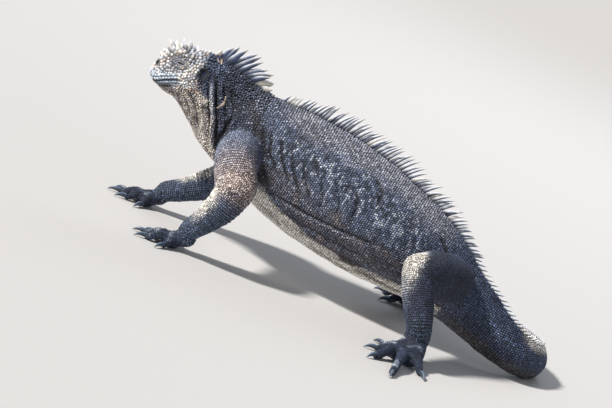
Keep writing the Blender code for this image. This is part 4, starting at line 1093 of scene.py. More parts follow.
    # Painted shadow: the back of the upper arm, turned from the light towards the trunk, is darkened.
    colour = over(colour, DEEP, arm * name_upper * ease(0.1, 0.8, normals[:, 0]) * 0.8)
    reach = name_upper * (3.0 - place) + name_lower * 1.7 * (place - 3.0)
    elbow = arm * bell(reach, 0.95) * (name_upper + name_lower)
    colour = over(colour, TAN, elbow * outer * (0.8 + 0.2 * lumps) * ease(-0.5, 0.3, lumps + 0.9))
    colour = over(colour, STEEL, arm * name_lower * ease(3.6, 4.4, place + 0.3 * coarse) * 0.9)
    inner = arm * name_lower * ease(0.0, 0.7, -normals[:, 0] - 0.3 * np.abs(normals[:, 1]))
    colour = over(colour, CREAM, inner * (1 - ease(4.6, 5.6, place)) * (0.75 + 0.25 * fine))
    reach = name_upper * 1.10 * (3.2 - place) + name_lower * (place - 2.9)
    knee = leg * bell(reach, 0.95) * (name_upper + name_lower)
    # The knee's own cream is kept to the side turned to the light, so it is partly a painted highlight;
    # turned away, the legs get darker slate as painted shade.
    towards_light = ease(-0.15, 0.75, -normals[:, 0] + 0.75 * normals[:, 2] + 0.2 * coarse)
    towards_light = towards_light * ease(0.1350, 0.1230, x)
    colour = over(colour, CREAM, knee * towards_light * (0.92 + 0.08 * fine))
    shin = leg * name_lower
    colour = over(colour, DEEP * 0.62, leg * (name_upper + name_lower) * (1 - towards_light) * 0.92)
    ahead = ease(0.55, 0.98, -normals[:, 0]) * (1 - ease(3.8, 4.8, place))
    colour = over(colour, ASH, shin * ahead * 0.6)
    colour = over(colour, STEEL, shin * ease(5.0, 6.2, place) * 0.8)
    colour = over(colour, FOOT_BLUE, name_foot * limb)
    glint = ease(0.2, 0.8, lumps + 0.3 * fine) * ease(0.0, 0.7, normals[:, 2])
    colour = over(colour, SHELL_BLUE, name_foot * limb * glint * 0.36)
    # Random wear, with painted shade in the fold creases and painted highlight on the fold ridges.
    folded = np.clip(folds_at(points, normals, body) / 0.0020, -1, 1)
    wear_and_fold_shading = 1 + 0.16 * coarse + 0.16 * lumps + 0.10 * fine
    wear_and_fold_shading = wear_and_fold_shading * (1 + np.where(folded < 0, 0.80, 0.70) * folded)
    return np.clip(colour * wear_and_fold_shading[:, None], 0.004, 0.9)


UPPER = np.array([float(flesh.name.startswith("upper")) for flesh in fleshes])
LOWER = np.array([float(flesh.name.startswith("lower")) for flesh in fleshes])
FOOT = np.array([float(flesh.name.startswith(("palm", "digit"))) for flesh in fleshes])


def paint_on(data, colours):
    """Keeps a colour on each point of a mesh, for its material to read."""
    layer = data.color_attributes.new("paint", "FLOAT_COLOR", "POINT")
    solid = np.column_stack([colours, np.ones(len(colours))])
    layer.data.foreach_set("color", solid.astype(np.float32).ravel())


chart = Chart(points)
skin_colours = markings(chart, points, normals)
SHADE_BETWEEN_SCALES = 0.30  # painted shade in the gaps: how much darker the skin is painted than the scales over it
paint_on(skin.data, skin_colours * SHADE_BETWEEN_SCALES)
skin.data.polygons.foreach_set("use_smooth", np.ones(len(skin.data.polygons), bool))
skin.data.materials.append(SKIN)
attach(skin, "root")
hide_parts(*[name for name in frame["nodes"] if not name.startswith("eye") and "claw" not in name])


# Scales: thousands of small horny plates set in rows over the skin, each a low dome or cone with its
# root under the skin and its point drawn back towards the tail. They carry the skin's own markings,
# with painted shade at the sunken rim and a pale point that is partly worn horn, partly painted highlight.
random.seed(7)
rng = np.random.default_rng(7)
skin_tree = BVHTree.FromPolygons(points.tolist(), [tuple(face.vertices) for face in skin.data.polygons])
SIDES = 6
ROUND = np.arange(SIDES) * 2 * math.pi / SIDES
UV_TILES = {}


def unwrap_tiles():
    """A place on the coat's map for every length of the body, as (u, v, width, height)."""
    UV_TILES[0] = (0.01, 0.01, 0.64, 0.47)
    limbs = [i for i in range(1, len(fleshes)) if UPPER[i] or LOWER[i]]
    palms = [i for i in range(1, len(fleshes)) if fleshes[i].name.startswith("palm")]
    digits = [i for i in range(1, len(fleshes)) if fleshes[i].name.startswith("digit")]
    for k, i in enumerate(limbs):
        at = (0.67 + 0.165 * (k % 2), 0.01 + 0.21 * (k // 2)) if k < 4 else (0.01 + 0.165 * (k - 4), 0.75)
        UV_TILES[i] = (*at, 0.155, 0.20 if k < 4 else 0.24)
    for k, i in enumerate(palms):
        UV_TILES[i] = (0.68 + 0.08 * k, 0.75, 0.07, 0.20)
    for k, i in enumerate(digits):
        UV_TILES[i] = (0.81 + 0.047 * (k % 4), 0.44 + 0.06 * (k // 4), 0.042, 0.05)


unwrap_tiles()
BODY_SPLIT = float(np.interp(20.0, fleshes[0].place, fleshes[0].arc))


def unwrap(spot):
    """Where charted points lie on the coat's map: along and round the length they belong to."""
    uv = np.zeros((len(spot.arc), 2))
    around = spot.angle / (2 * math.pi) + 0.5
    for i, (u, v, width, height) in UV_TILES.items():
        mine = spot.owner == i
        share = spot.arc[mine] / (BODY_SPLIT if i == 0 else fleshes[i].arc[-1])
        uv[mine] = np.column_stack([u + width * share, v + height * around[mine]])
    tail = (spot.owner == 0) & (spot.arc > BODY_SPLIT)
    share = (spot.arc[tail] - BODY_SPLIT) / (fleshes[0].arc[-1] - BODY_SPLIT)
    uv[tail] = np.column_stack([0.01 + 0.78 * share, 0.50 + 0.22 * around[tail]])
    return uv


def onto_skin(spots):
    """The nearest skin points, the way out of the skin, and how far off the spots were."""
    found = [skin_tree.find_nearest(spot) for spot in spots.tolist()]
    return (
        np.array([hit[0] for hit in found]),
        np.array([hit[1] for hit in found]),
        np.array([hit[3] for hit in found]),
    )


def rows_on(number, pitch_of):
    """Staggered rows of spots over one length, counted round from the back, with the way to the tail."""
    flesh = fleshes[number]
    spots, aheads, sizes = [], [], []
    arc, row = pitch_of(0.0) * 0.5, 0
    turn = np.linspace(0, math.pi, 49)
    while arc < flesh.arc[-1]:
        pitch = pitch_of(arc)
        for sense in (1, -1):
            ring = flesh.point(np.full(49, arc), sense * turn, -COAT_DEPTH)
            length = np.concatenate([[0], np.cumsum(np.linalg.norm(np.diff(ring, axis=0), axis=1))])
            start = 0.5 if row % 2 else (1.0 if sense == 1 else 0.0)
            marks = np.arange(start, length[-1] / pitch, 1.0) * pitch
            angle = sense * np.interp(marks, length, turn)
            here = np.full(len(marks), arc)
            spots.append(flesh.point(here, angle, -COAT_DEPTH))
            before = flesh.point(here - 0.001, angle, -COAT_DEPTH)
            aheads.append(flesh.point(here + 0.001, angle, -COAT_DEPTH) - before)
            sizes.append(np.full((len(marks), 2), pitch))
        arc += pitch
        row += 1
    return np.vstack(spots), unit(np.vstack(aheads)), np.vstack(sizes)


def thin_out(spots, room):
    """Keeps spots in order, each only if it has room among those kept before it."""
    tree = search_tree(spots)
    free = np.ones(len(spots), bool)
    kept = np.zeros(len(spots), bool)
    for i, point in enumerate(spots.tolist()):
        if free[i]:
            kept[i] = True
            for _, j, _ in tree.find_range(point, float(room[i])):
                free[j] = False
    return kept


SINK = 0.0005  # how deep a scale's rim lies in the skin


def scale_mesh(name, spots, outs, aheads, size, height, colours, uv, back, mid, edge, tip, rough=0.06):
    """Joined scales: a sunken rim, a shoulder and a point, with painted shade darkest at the rim.

    The point is set back by a share of the size; mid is the shoulder's share of width and height;
    edge is the painted shade of the rim and tip the brightening of the point, partly pale worn horn and
    partly painted highlight; rough is how ragged the outline is."""
    count = len(spots)
    ahead = unit(aheads - outs * dot(aheads, outs)[:, None])
    across = np.cross(outs, ahead)
    turn = ROUND[None, :] + rng.uniform(-0.12, 0.12, (count, 1)) + math.pi / SIDES
    size = size * rng.uniform(0.93, 1.06, (count, 1))
    ragged = rng.uniform(1 - rough, 1 + rough, (count, SIDES))
    offset = rng.uniform(-rough, rough, (count, 1)) * 1.6
    height = height * rng.uniform(0.8, 1.2, count)
    rings = []
    for scale, rise, shift in ((1.0, None, 0.0), (mid[0], mid[1], back * 0.35), (0.0, 1.0, back)):
        lift = np.full(count, -SINK) if rise is None else height * rise
        if scale:
            along = (np.cos(turn) * scale * ragged + shift) * size[:, :1]
            wide = np.sin(turn) * scale * ragged * size[:, 1:]
        else:
            along = (shift + offset) * size[:, :1]
            wide = offset[::-1] * size[:, 1:]
        ring = spots[:, None] + ahead[:, None] * along[..., None] + across[:, None] * wide[..., None]
        rings.append(ring + outs[:, None] * lift[:, None, None])
    shape = np.concatenate(rings, axis=1)
    shape[..., 2] = np.maximum(shape[..., 2], 0.0003)
    each = shape.shape[1]
    k = np.arange(SIDES)
    n = (k + 1) % SIDES
    low, high = k, k + SIDES
    sides = np.concatenate([
        np.column_stack([low, n, n + SIDES]),
        np.column_stack([low, n + SIDES, high]),
        np.column_stack([high, n + SIDES, np.full(SIDES, 2 * SIDES)]),
    ])
    faces = (sides[None] + (np.arange(count) * each)[:, None, None]).reshape(-1, 3)
    # Painted shade darkens the sunken rim; the point is brightened, partly as pale worn horn, partly as
    # painted highlight.
    shade = np.concatenate([np.full(SIDES, edge), np.full(SIDES, 1.0), [tip]])
    tints = colours[:, None, :] * shade[None, :, None]
    made = mesh_piece(name, shape.reshape(-1, 3), faces, SCALES)
    paint_on(made.data, np.clip(tints.reshape(-1, 3), 0, 1))
    patch = np.zeros((each, 2))
    patch[:SIDES] = 0.0015 * np.column_stack([np.cos(ROUND), np.sin(ROUND)])
    patch[SIDES : 2 * SIDES] = 0.0011 * np.column_stack([np.cos(ROUND), np.sin(ROUND)])
    map_on(made.data, (uv[:, None, :] + patch[None]).reshape(-1, 2), faces)
    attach(made, "root")


MOST_SCALES = 10500  # in one piece, which keeps it under 200,000 triangles
HEAD_PLACE = 7.2
plans = []
for number, flesh in enumerate(fleshes):
    if number == 0:
        def along(arc):
            place = np.interp(arc, fleshes[0].arc, fleshes[0].place)
            millimetres = (2.0, 2.3, 2.6, 2.6, 2.3, 2.3, 2.4, 1.5)
            return float(np.interp(place, (0, 7, 8, 10.5, 12, 20, 25, 35), millimetres)) * 0.001
    else:
        pitch = 0.0020 if UPPER[number] or LOWER[number] else 0.0016
        if flesh.name.startswith("digit"):
            pitch = 0.0014
        along = lambda arc, pitch=pitch: pitch
    plans.append((number, *rows_on(number, along)))

row_spots = np.vstack([plan[1] for plan in plans])
row_ahead = np.vstack([plan[2] for plan in plans])
row_size = np.vstack([plan[3] for plan in plans])
row_owner = np.concatenate([np.full(len(plan[1]), plan[0]) for plan in plans])
row_loose = np.where((row_owner == 0) & (row_spots[:, 0] < -0.06), 0.17, 0.09) * row_size.mean(axis=1)
row_spots += rng.normal(0, 1, row_spots.shape) * row_loose[:, None]
hits, outs, off = onto_skin(row_spots)
row_chart = Chart(hits)
fits = (row_chart.owner == row_owner) & (off < 0.0028)
fits &= ~((row_owner == 0) & (row_chart.place < HEAD_PLACE))
hits, outs, ahead, size = hits[fits], outs[fits], row_ahead[fits], row_size[fits]
kept = thin_out(hits, size.mean(axis=1) * 0.62)
hits, outs, ahead, size = hits[kept], outs[kept], ahead[kept], size[kept]


def nearest_ahead(spot):
    """The way along the body at charted points."""
    way = np.zeros((len(spot.arc), 3))
    for i, flesh in enumerate(fleshes):
        mine = spot.owner == i
        if mine.any():
            way[mine] = flesh.point(spot.arc[mine] + 0.001, spot.angle[mine]) - flesh.point(
                spot.arc[mine] - 0.001, spot.angle[mine])
    return unit(way)


GAP = 0.0017  # a bare place wider than this gets a scale of its own
skin_chart = Chart(points)
body_tree = search_tree(hits)
bare = ~((skin_chart.owner == 0) & (skin_chart.place < HEAD_PLACE))
gaps = np.array([body_tree.find(point)[2] if here else 0.0 for point, here in zip(points.tolist(), bare)])
spare = np.flatnonzero(gaps > GAP)
spare = spare[rng.permutation(len(spare))]
filled = thin_out(points[spare], np.full(len(spare), GAP))
spare = spare[filled]
spare_chart = Chart(points[spare])
hits = np.vstack([hits, points[spare]])
outs = np.vstack([outs, normals[spare]])
ahead = np.vstack([ahead, nearest_ahead(spare_chart)])
size = np.vstack([size, np.full((len(spare), 2), 0.0019)])
chart = Chart(hits)
v = np.degrees(np.abs(chart.angle))
belly = (chart.owner == 0) & (chart.place < 21) * (v > 118)
height = np.where(belly, 0.00040, 0.00068) * np.where(chart.owner == 0, 1.0, 0.85)
crestward = (chart.owner == 0) * (1 - ease(14, 42, v)) * ease(10.5, 12, chart.place)
height = height * (1 + 0.7 * crestward)
nape = (chart.owner == 0) & (chart.place < 11.0) & (v < 95)
height = np.where(nape, height * (1.5 + 1.6 * (1 - ease(25, 75, v))), height)
colours = markings(chart, hits, outs)
speckle = np.exp(rng.normal(0, 0.36, len(hits)))
pale = (rng.random(len(hits)) < 0.02) & (chart.owner == 0) & (chart.place < 19.5)
colours = colours * speckle[:, None]
colours = np.where(pale[:, None], colours * 0.8 + ASH * 0.5, colours)
uv = unwrap(chart)
zones = {
    "scales_neck": (chart.owner == 0) & (chart.place < 10.5),
    "scales_chest": (chart.owner == 0) & (chart.place >= 10.5) & (chart.place < 13.2),
    "scales_ribs": (chart.owner == 0) & (chart.place >= 13.2) & (chart.place < 16.0),
    "scales_loin": (chart.owner == 0) & (chart.place >= 16.0) & (chart.place < 20.5),
    "scales_tail": (chart.owner == 0) & (chart.place >= 20.5),
    "scales_arms": (chart.owner > 0) & (hits[:, 0] < 0),
    "scales_legs": (chart.owner > 0) & (hits[:, 0] >= 0),
}
for name, zone in zones.items():
    where = np.flatnonzero(zone)
    parts = -(-len(where) // MOST_SCALES)
    for part, chosen in enumerate(np.array_split(where, parts)):
        label = name if parts == 1 else f"{name}_{part + 1}"
        scale_mesh(label, hits[chosen], outs[chosen], ahead[chosen], size[chosen] * 0.60, height[chosen],
                   colours[chosen], uv[chosen], back=0.40, mid=(0.66, 0.52), edge=0.10, tip=3.3)


# Head scales: pale pointed cones on the crown and snout, coarse granules on the cheeks, fine beads
# round the eyes and on the chin. They are fitted edge to edge, the largest first.
def head_room(spot, spots):
    """How wide a head scale is at charted points, in metres."""
    x, z = spots[:, 0], spots[:, 2]
    v = np.degrees(np.abs(spot.angle))
    width = np.interp(v, (0, 35, 60, 85, 110, 180), (0.0043, 0.0038, 0.0031, 0.0025, 0.0020, 0.0019))
    shares = (0.62, 0.80, 1.0, 1.0, 0.85, 0.62)
    width = width * np.interp(spot.place, (0, 1.2, 2.5, 5.0, 6.4, 7.4), shares)
    width = width * (1 + 0.30 * bell(spot.place - 4.4, 0.8) * (v < 26))
    lids = np.hypot((x - EYE.x) / 0.0092, (z - EYE.z) / 0.0058)
    width = np.minimum(width, np.interp(lids, (0.0, 0.55, 1.0, 1.35), (0.0010, 0.0013, 0.0017, 0.0040)))
    nose = np.hypot(x - NOSTRIL[0], z - NOSTRIL[1])
    width = np.minimum(width, np.interp(nose, (0.0, 0.0032, 0.0050), (0.0013, 0.0016, 0.0040)))
    drum = np.hypot(x - EAR[0], z - EAR[1])
    return np.minimum(width, np.interp(drum, (0.0, 0.0052, 0.0072), (0.0012, 0.0014, 0.0040)))


on_head = np.flatnonzero((skin_chart.owner == 0) & (skin_chart.place < HEAD_PLACE + 0.15))
spots, spot_outs = points[on_head], normals[on_head]
spot_chart = Chart(spots)
room = head_room(spot_chart, spots)
mouth, along_mouth = beside(spots, MOUTH)
at_mouth = (np.abs(mouth) < 0.0050) & (along_mouth < 0.985) & (spots[:, 0] < -0.155)
eye_gap = np.hypot((spots[:, 0] - EYE.x) / (EYE_OPEN[0] + 0.0011),
                   (spots[:, 2] - EYE.z) / (EYE_OPEN[1] + 0.0011))
at_eye = (eye_gap < 1.0) & (np.abs(spots[:, 1]) > 0.008)
slot_gap = np.hypot((spots[:, 0] - NOSTRIL[0]) / 0.0026, (spots[:, 2] - NOSTRIL[1]) / 0.0040)
at_nose = (slot_gap < 1.0) & (np.abs(spots[:, 1]) > 0.003)
drum_gap = np.hypot(spots[:, 0] - EAR[0], (spots[:, 2] - EAR[1]) / 1.15)
at_ear = (drum_gap < 0.0034) & (np.abs(spots[:, 1]) > 0.010)
usable = ~(at_mouth | at_eye | at_nose | at_ear)
order = np.flatnonzero(usable)
order = order[np.argsort(-room[order] + rng.uniform(0, 0.0004, len(order)))]
chosen = order[thin_out(spots[order], room[order] * 0.88)]
scale_room = room[chosen]
scale_chart = Chart(spots[chosen])
v = np.degrees(np.abs(scale_chart.angle))
tall = scale_room * np.interp(v, (0, 40, 70, 100), (0.78, 0.64, 0.38, 0.28))
crown = bell(scale_chart.place - 4.3, 0.9) * (v < 26)
front_cones = bell(scale_chart.place - 3.4, 1.8) * (v < 50)
tall = tall * (1 + 0.95 * crown * rng.uniform(0.3, 1.0, len(chosen)) + 0.6 * front_cones)
tall = tall * rng.uniform(0.75, 1.3, len(chosen))
for x, y in ((-0.1824, 0.004), (-0.1725, -0.003)):
    peak = np.hypot(spots[chosen][:, 0] - x, spots[chosen][:, 1] - y)
    tall = tall * (1 + 1.3 * bell(peak, 0.0032) * (v < 40))
head_colours = markings(scale_chart, spots[chosen], spot_outs[chosen])
pick = rng.random(len(chosen)) * (head_colours.mean(axis=1) > 0.25)
head_colours = over(head_colours, srgb(150, 163, 180), (pick > 0.80) * 0.55)
head_colours = over(head_colours, srgb(196, 170, 150), ((pick > 0.62) & (pick < 0.78)) * 0.5)
head_colours = over(head_colours, CREAM * 1.15, ((pick > 0.35) & (pick < 0.60)) * 0.6)
head_colours = head_colours * np.exp(rng.normal(0, 0.20, len(chosen)))[:, None]
scale_mesh("scales_head", spots[chosen], spot_outs[chosen], nearest_ahead(scale_chart),
           np.column_stack([scale_room, scale_room]) * 0.68, tall, head_colours, unwrap(scale_chart),
           back=0.10, mid=(0.62, 0.50), edge=0.20, tip=1.7, rough=0.22)


# Lips: two rows of oblong plates along the mouth line, bluish and worn pale, with dark seams between.
def along_line(line, step):
    """Points spaced evenly along a line of (x, z), and the way it runs there."""
    line = np.array(line)
    lengths = np.linalg.norm(np.diff(line, axis=0), axis=1)
    starts = np.concatenate([[0], np.cumsum(lengths)])
    marks = np.arange(step / 2, starts[-1], step)
    flat = np.column_stack([np.interp(marks, starts, line[:, k]) for k in range(2)])
    ahead = np.column_stack([np.interp(marks + step / 4, starts, line[:, k]) for k in range(2)]) - flat
    return flat, unit(ahead + 1e-9), marks / starts[-1]


LIP_PLATE = 0.0031
LIP_ROWS = ((0.0021, 0.0019), (-0.0019, 0.0016), (0.0053, 0.0016), (-0.0044, 0.0010))  # height, half width
plates, plate_outs, plate_ahead, plate_size, plate_tall = [], [], [], [], []
for sense in (1, -1):
    flat, ahead_flat, share = along_line(MOUTH[1:], LIP_PLATE)
    for row, (offset, width) in enumerate(LIP_ROWS):
        up = np.column_stack([-ahead_flat[:, 1], ahead_flat[:, 0]])
        spot = flat + up * offset + ahead_flat * (LIP_PLATE / 2 if row > 1 else 0)
        for (x, z), (ax, az), part in zip(spot, ahead_flat, share):
            x, z = x + random.uniform(-0.0004, 0.0004), z + 0.0003 * part * (1 if offset > 0 else -1)
            if offset < 0 and x < -0.1850:
                continue
            hit = skin_tree.ray_cast(Vector((x, -sense * 0.06, z)), Vector((0, sense, 0)), 0.06)
            if hit[0] is None:
                continue
            plates.append(hit[0])
            plate_outs.append(hit[1])
            plate_ahead.append((ax, 0.0, az))
            taper = 1 - 0.45 * part
            plate_size.append((LIP_PLATE * random.uniform(0.58, 0.74), width * taper))
            plate_tall.append(0.0005 if row < 2 else 0.0004)
for y in np.arange(-0.0075, 0.0080, 0.0025):
    for z, tall_plate in ((0.1362, 0.0018), (0.1395, 0.0016)):
        hit = skin_tree.ray_cast(Vector((-0.25, y, z)), Vector((1, 0, 0)), 0.1)
        plates.append(hit[0])
        plate_outs.append(hit[1])
        plate_ahead.append((0.0, 1.0, 0.0))
        plate_size.append((0.0015, tall_plate))
        plate_tall.append(0.0004)
plates, plate_outs = np.array(plates), np.array(plate_outs)
plate_chart = Chart(plates)
plate_colours = markings(plate_chart, plates, plate_outs)
plate_colours = plate_colours * np.exp(rng.normal(0, 0.12, len(plates)))[:, None]
scale_mesh("lip_plates", plates, plate_outs, np.array(plate_ahead, float), np.array(plate_size),
           np.array(plate_tall), plate_colours, unwrap(plate_chart),
           back=0.0, mid=(0.80, 0.70), edge=0.45, tip=1.25, rough=0.12)


# Eyes: a glossy dark brown eyeball on each side, deep between two lids whose edges are rolled
# rims of fine beads, with creases above and below, half shut against the sun.
def eye_finish():
    made = Finish("wet dark eye")
    paint = made.attribute("paint")
    fibres = made.noise(2600.0, 3.0, 0.6)
    brown = made.mix(fibres, (0.0, 0.0, 0.0), (0.05, 0.028, 0.015))
    made.set(Base_Color=made.mix(0.5, paint, brown, "ADD"), Roughness=0.06 + fibres * 0.03)
    made.shader.inputs["Coat Weight"].default_value = 1.0
    made.shader.inputs["Coat Roughness"].default_value = 0.03
    return made.material


EYES = eye_finish()
IRIS_RADIUS, PUPIL_RADIUS = 0.0036, 0.0015
for label, sense in (("left", -1), ("right", 1)):
    centre = Vector((EYE.x, EYE.y * -sense, EYE.z)) + HOME
    bpy.ops.object.select_all(action="DESELECT")
    bpy.ops.mesh.primitive_uv_sphere_add(segments=64, ring_count=48, radius=EYE_RADIUS,
                                         location=(0, 0, 0), rotation=(math.radians(90), 0, 0))
    ball = bpy.context.object
    ball.name = "eyeball_" + label
    bpy.ops.object.transform_apply(location=False, rotation=True, scale=False)
    gaze = np.array((-0.16, sense * 0.98, 0.02))
    gaze = gaze / np.linalg.norm(gaze)
    shape = np.array([vert.co for vert in ball.data.vertices])
    away = np.linalg.norm(shape - gaze * EYE_RADIUS, axis=1)
    shape += gaze * (0.0005 * bell(away, 0.0030))[:, None]
    for vert, co in zip(ball.data.vertices, shape.tolist()):
        vert.co = Vector(co) + centre
    iris = ease(IRIS_RADIUS * 1.06, IRIS_RADIUS * 0.94, away)
    streaky = iris * (0.6 + 0.4 * grain(shape, 0.0006, 4))
    tint = over(np.tile(srgb(34, 27, 25), (len(shape), 1)), srgb(44, 27, 19), streaky)
    tint = over(tint, srgb(6, 5, 5), ease(PUPIL_RADIUS * 1.12, PUPIL_RADIUS * 0.88, away))
    paint_on(ball.data, tint)
    ball.data.polygons.foreach_set("use_smooth", np.ones(len(ball.data.polygons), bool))
    ball.data.materials.append(EYES)
    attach(ball, "root")
    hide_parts("eye_" + label)


def lid_ring(sense, grow, radius, proud, segments=56, sides=8):
    """A rolled rim that follows the open eye on the face of the eyeball."""
    turn = np.linspace(0, 2 * math.pi, segments, endpoint=False)
    wide, tall_ring = EYE_OPEN[0] + grow, EYE_OPEN[1] + grow
    dx = wide * np.cos(turn)
    dz = tall_ring * np.sin(turn) * (1 - 0.35 * np.abs(np.cos(turn)) ** 3)
    reach = abs(EYE.y) + np.sqrt(np.maximum((EYE_RADIUS + proud) ** 2 - (dx / 1.10) ** 2 - dz**2, 0))
    line = np.column_stack([EYE.x + dx, sense * reach, EYE.z + dz])
    ahead = unit(np.roll(line, -1, axis=0) - np.roll(line, 1, axis=0))
    outward = unit(line - np.array((EYE.x, sense * abs(EYE.y), EYE.z)))
    across = np.cross(ahead, outward)
    swell = radius * (1 - 0.25 * np.abs(np.cos(turn)) ** 4)
    spin = np.arange(sides) * 2 * math.pi / sides
    ring = line[:, None] + swell[:, None, None] * (
        across[:, None] * np.cos(spin)[None, :, None] + outward[:, None] * np.sin(spin)[None, :, None])
    i = np.arange(segments)[:, None] * sides
    j = (np.arange(segments)[:, None] + 1) % segments * sides
    k = np.arange(sides)[None, :]
    n = (k + 1) % sides
    quads = np.stack([i + k, i + n, j + n, j + k], axis=-1).reshape(-1, 4)
    if sense > 0:
        quads = quads[:, ::-1]
    return ring.reshape(-1, 3), quads


LID_RINGS = ((0.0001, 0.00042, 0.0006), (0.0010, 0.00048, 0.0008), (0.0020, 0.00055, 0.0012))
for label, sense in (("left", -1), ("right", 1)):
    rims, rim_faces, start = [], [], 0
    for grow, radius, proud in LID_RINGS:
        shape, quads = lid_ring(sense, grow, radius, proud)
        rims.append(shape)
        rim_faces.append(quads + start)
        start += len(shape)
    rims = np.vstack(rims)
    rim_chart = Chart(rims)
    lid = mesh_piece("eyelid_rims_" + label, rims, np.vstack(rim_faces), SCALES)
    tint = markings(rim_chart, rims, unit(rims - np.array((EYE.x, sense * abs(EYE.y), EYE.z))))
    ring_number = np.arange(len(rims)) // (len(rims) // 3)
    tint = tint * (0.9 + 0.35 * grain(rims, 0.0009, 8))[:, None]
    upper = np.sin(np.arange(len(rims)) // 8 % 56 * 2 * math.pi / 56) > 0.1
    # The inner rim is the pale lid edge, partly painted highlight and brightest on the upper lid; the
    # middle rim is dark as painted shade in the crease between the rims.
    tint = over(tint, srgb(176, 184, 194), (ring_number == 0) * np.where(upper, 0.75, 0.30))
    tint = over(tint, srgb(30, 30, 38), (ring_number == 1) * 0.7)
    paint_on(lid.data, np.clip(tint, 0, 1))
    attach(lid, "root")


# Crest: flat horny spines in one row from the nape to the end of the tail, longest on the nape,
# a gap at the shoulders, then close-set along the back. Some are bone pale, some slate.
def section_at(place):
    """Top of the back, the way up, the way to the tail and the way to the right at a place."""
    rows = follow(BODY_ROWS, np.array([place - 0.03, place, place + 0.03]).clip(0, len(BODY_ROWS) - 1))
    ahead = unit(rows[2, 0:3] - rows[0, 0:3])
    up = unit(np.cross(rows[1, 6:9], ahead))
    return rows[1, 0:3], up if up[2] > 0 else -up, ahead, unit(rows[1, 6:9])


def place_at(first, last, share):
    """The place at a share of the back's length between two places."""
    places = np.linspace(first, last, 160)
    tops = follow(BODY_ROWS, places)[:, 0:3]
    lengths = np.concatenate([[0], np.cumsum(np.linalg.norm(np.diff(tops, axis=0), axis=1))])
    return float(np.interp(share * lengths[-1], lengths, places))


SPINE_SIDES = 8
SPINE_RINGS = (-0.16, 0.02, 0.16, 0.34, 0.52, 0.70, 0.86, 0.95, 1.0)
NAPE_LENGTHS = (0.010, 0.017, 0.022, 0.0245, 0.026, 0.027, 0.0275, 0.027, 0.0255, 0.023, 0.020, 0.016,
                0.011)
BACK_LENGTHS = (0.0110, 0.0215, 0.0235, 0.0215, 0.0200, 0.0175, 0.0135)
BACK_COUNT, TAIL_COUNT = 62, 88
TAIL_LENGTHS = (0.0108, 0.0086, 0.0068, 0.0056, 0.0036, 0.0018)


def length_at(lengths, share):
    """A spine's length at a share of its row, on the smooth curve through the given lengths."""
    places = np.array([share * (len(lengths) - 1) * 0.9999])
    return float(follow(np.array(lengths)[:, None], places)[0, 0])


spines = []  # place, length, width, thickness, lean and tilt in degrees, curl
for i, length in enumerate(NAPE_LENGTHS):
    share = (i + 0.4) / len(NAPE_LENGTHS)
    spines.append((place_at(6.7, 10.4, share), length * random.uniform(0.92, 1.12),
                   random.uniform(0.0058, 0.0078), 0.0024, 8 + 44 * share ** 1.5 + random.uniform(-5, 5),
                   random.uniform(-14, 14), 0.16))
for i in range(BACK_COUNT):
    share = i / (BACK_COUNT - 1)
    length = length_at(BACK_LENGTHS, share)
    spines.append((place_at(11.5, 20.2, share), length * random.uniform(0.84, 1.10), 0.0036, 0.0015,
                   9 + 14 * share + random.uniform(-7, 7), random.uniform(-12, 12), 0.28))
for i in range(TAIL_COUNT):
    share = i / (TAIL_COUNT - 1)
    length = length_at(TAIL_LENGTHS, share)
    spines.append((place_at(20.3, 34.6, share), length * random.uniform(0.9, 1.1),
                   0.0032 * (1 - 0.55 * share), 0.0015 * (1 - 0.5 * share), 38 + random.uniform(-4, 4),
                   random.uniform(-4, 4), 0.18))


def spine_shape(place, length, width, thick, lean, tilt, curl):
    """A flattened cone that curves towards the tail, as rings from under the skin to its point."""
    top, up, ahead, side = section_at(place)
    lean, tilt = math.radians(lean), math.radians(tilt)
    way = up * math.cos(lean) + ahead * math.sin(lean)
    way = unit(way * math.cos(tilt) + side * math.sin(tilt))
    side = unit(side - way * np.dot(side, way))
    edge = np.cross(side, way)
    edge = edge if np.dot(edge, ahead) > 0 else -edge
    shape = []
    root = top - up * (COAT_DEPTH + 0.0006)
    for share in SPINE_RINGS:
        fat = max(0.05, (1 - max(share, 0) ** 2.6) ** 0.85)
        fat = fat * (1 + 0.10 * math.exp(-((share / 0.12) ** 2)))
        middle = root + way * (length * share) + edge * (length * curl * max(share, 0) ** 2)
        for k in range(SPINE_SIDES):
            turn = 2 * math.pi * k / SPINE_SIDES
            keel = 0.85 + 0.15 * abs(math.cos(turn))
            wide = edge * (width / 2 * fat * math.cos(turn))
            shape.append(middle + wide + side * (thick / 2 * fat * keel * math.sin(turn)))
    flip = np.dot(np.cross(edge, side), way) < 0
    return np.array(shape), flip


def horn_finish():
    made = Finish("weathered spine horn")
    paint = made.attribute("paint")
    streaks = made.noise(900.0, 4.0, 0.65)
    made.set(
        Base_Color=made.mix(1.0, paint, made.node("ShaderNodeValToRGB", {"stops": (
            (0.30, (0.66, 0.66, 0.68, 1)), (0.55, (1.0, 1.0, 1.0, 1)), (0.75, (1.25, 1.22, 1.16, 1)),
        )}, {0: streaks}), "MULTIPLY"),
        Roughness=0.42 + streaks * 0.2,
        Normal=made.bump(streaks, 0.35, 0.0004),
    )
    return made.material


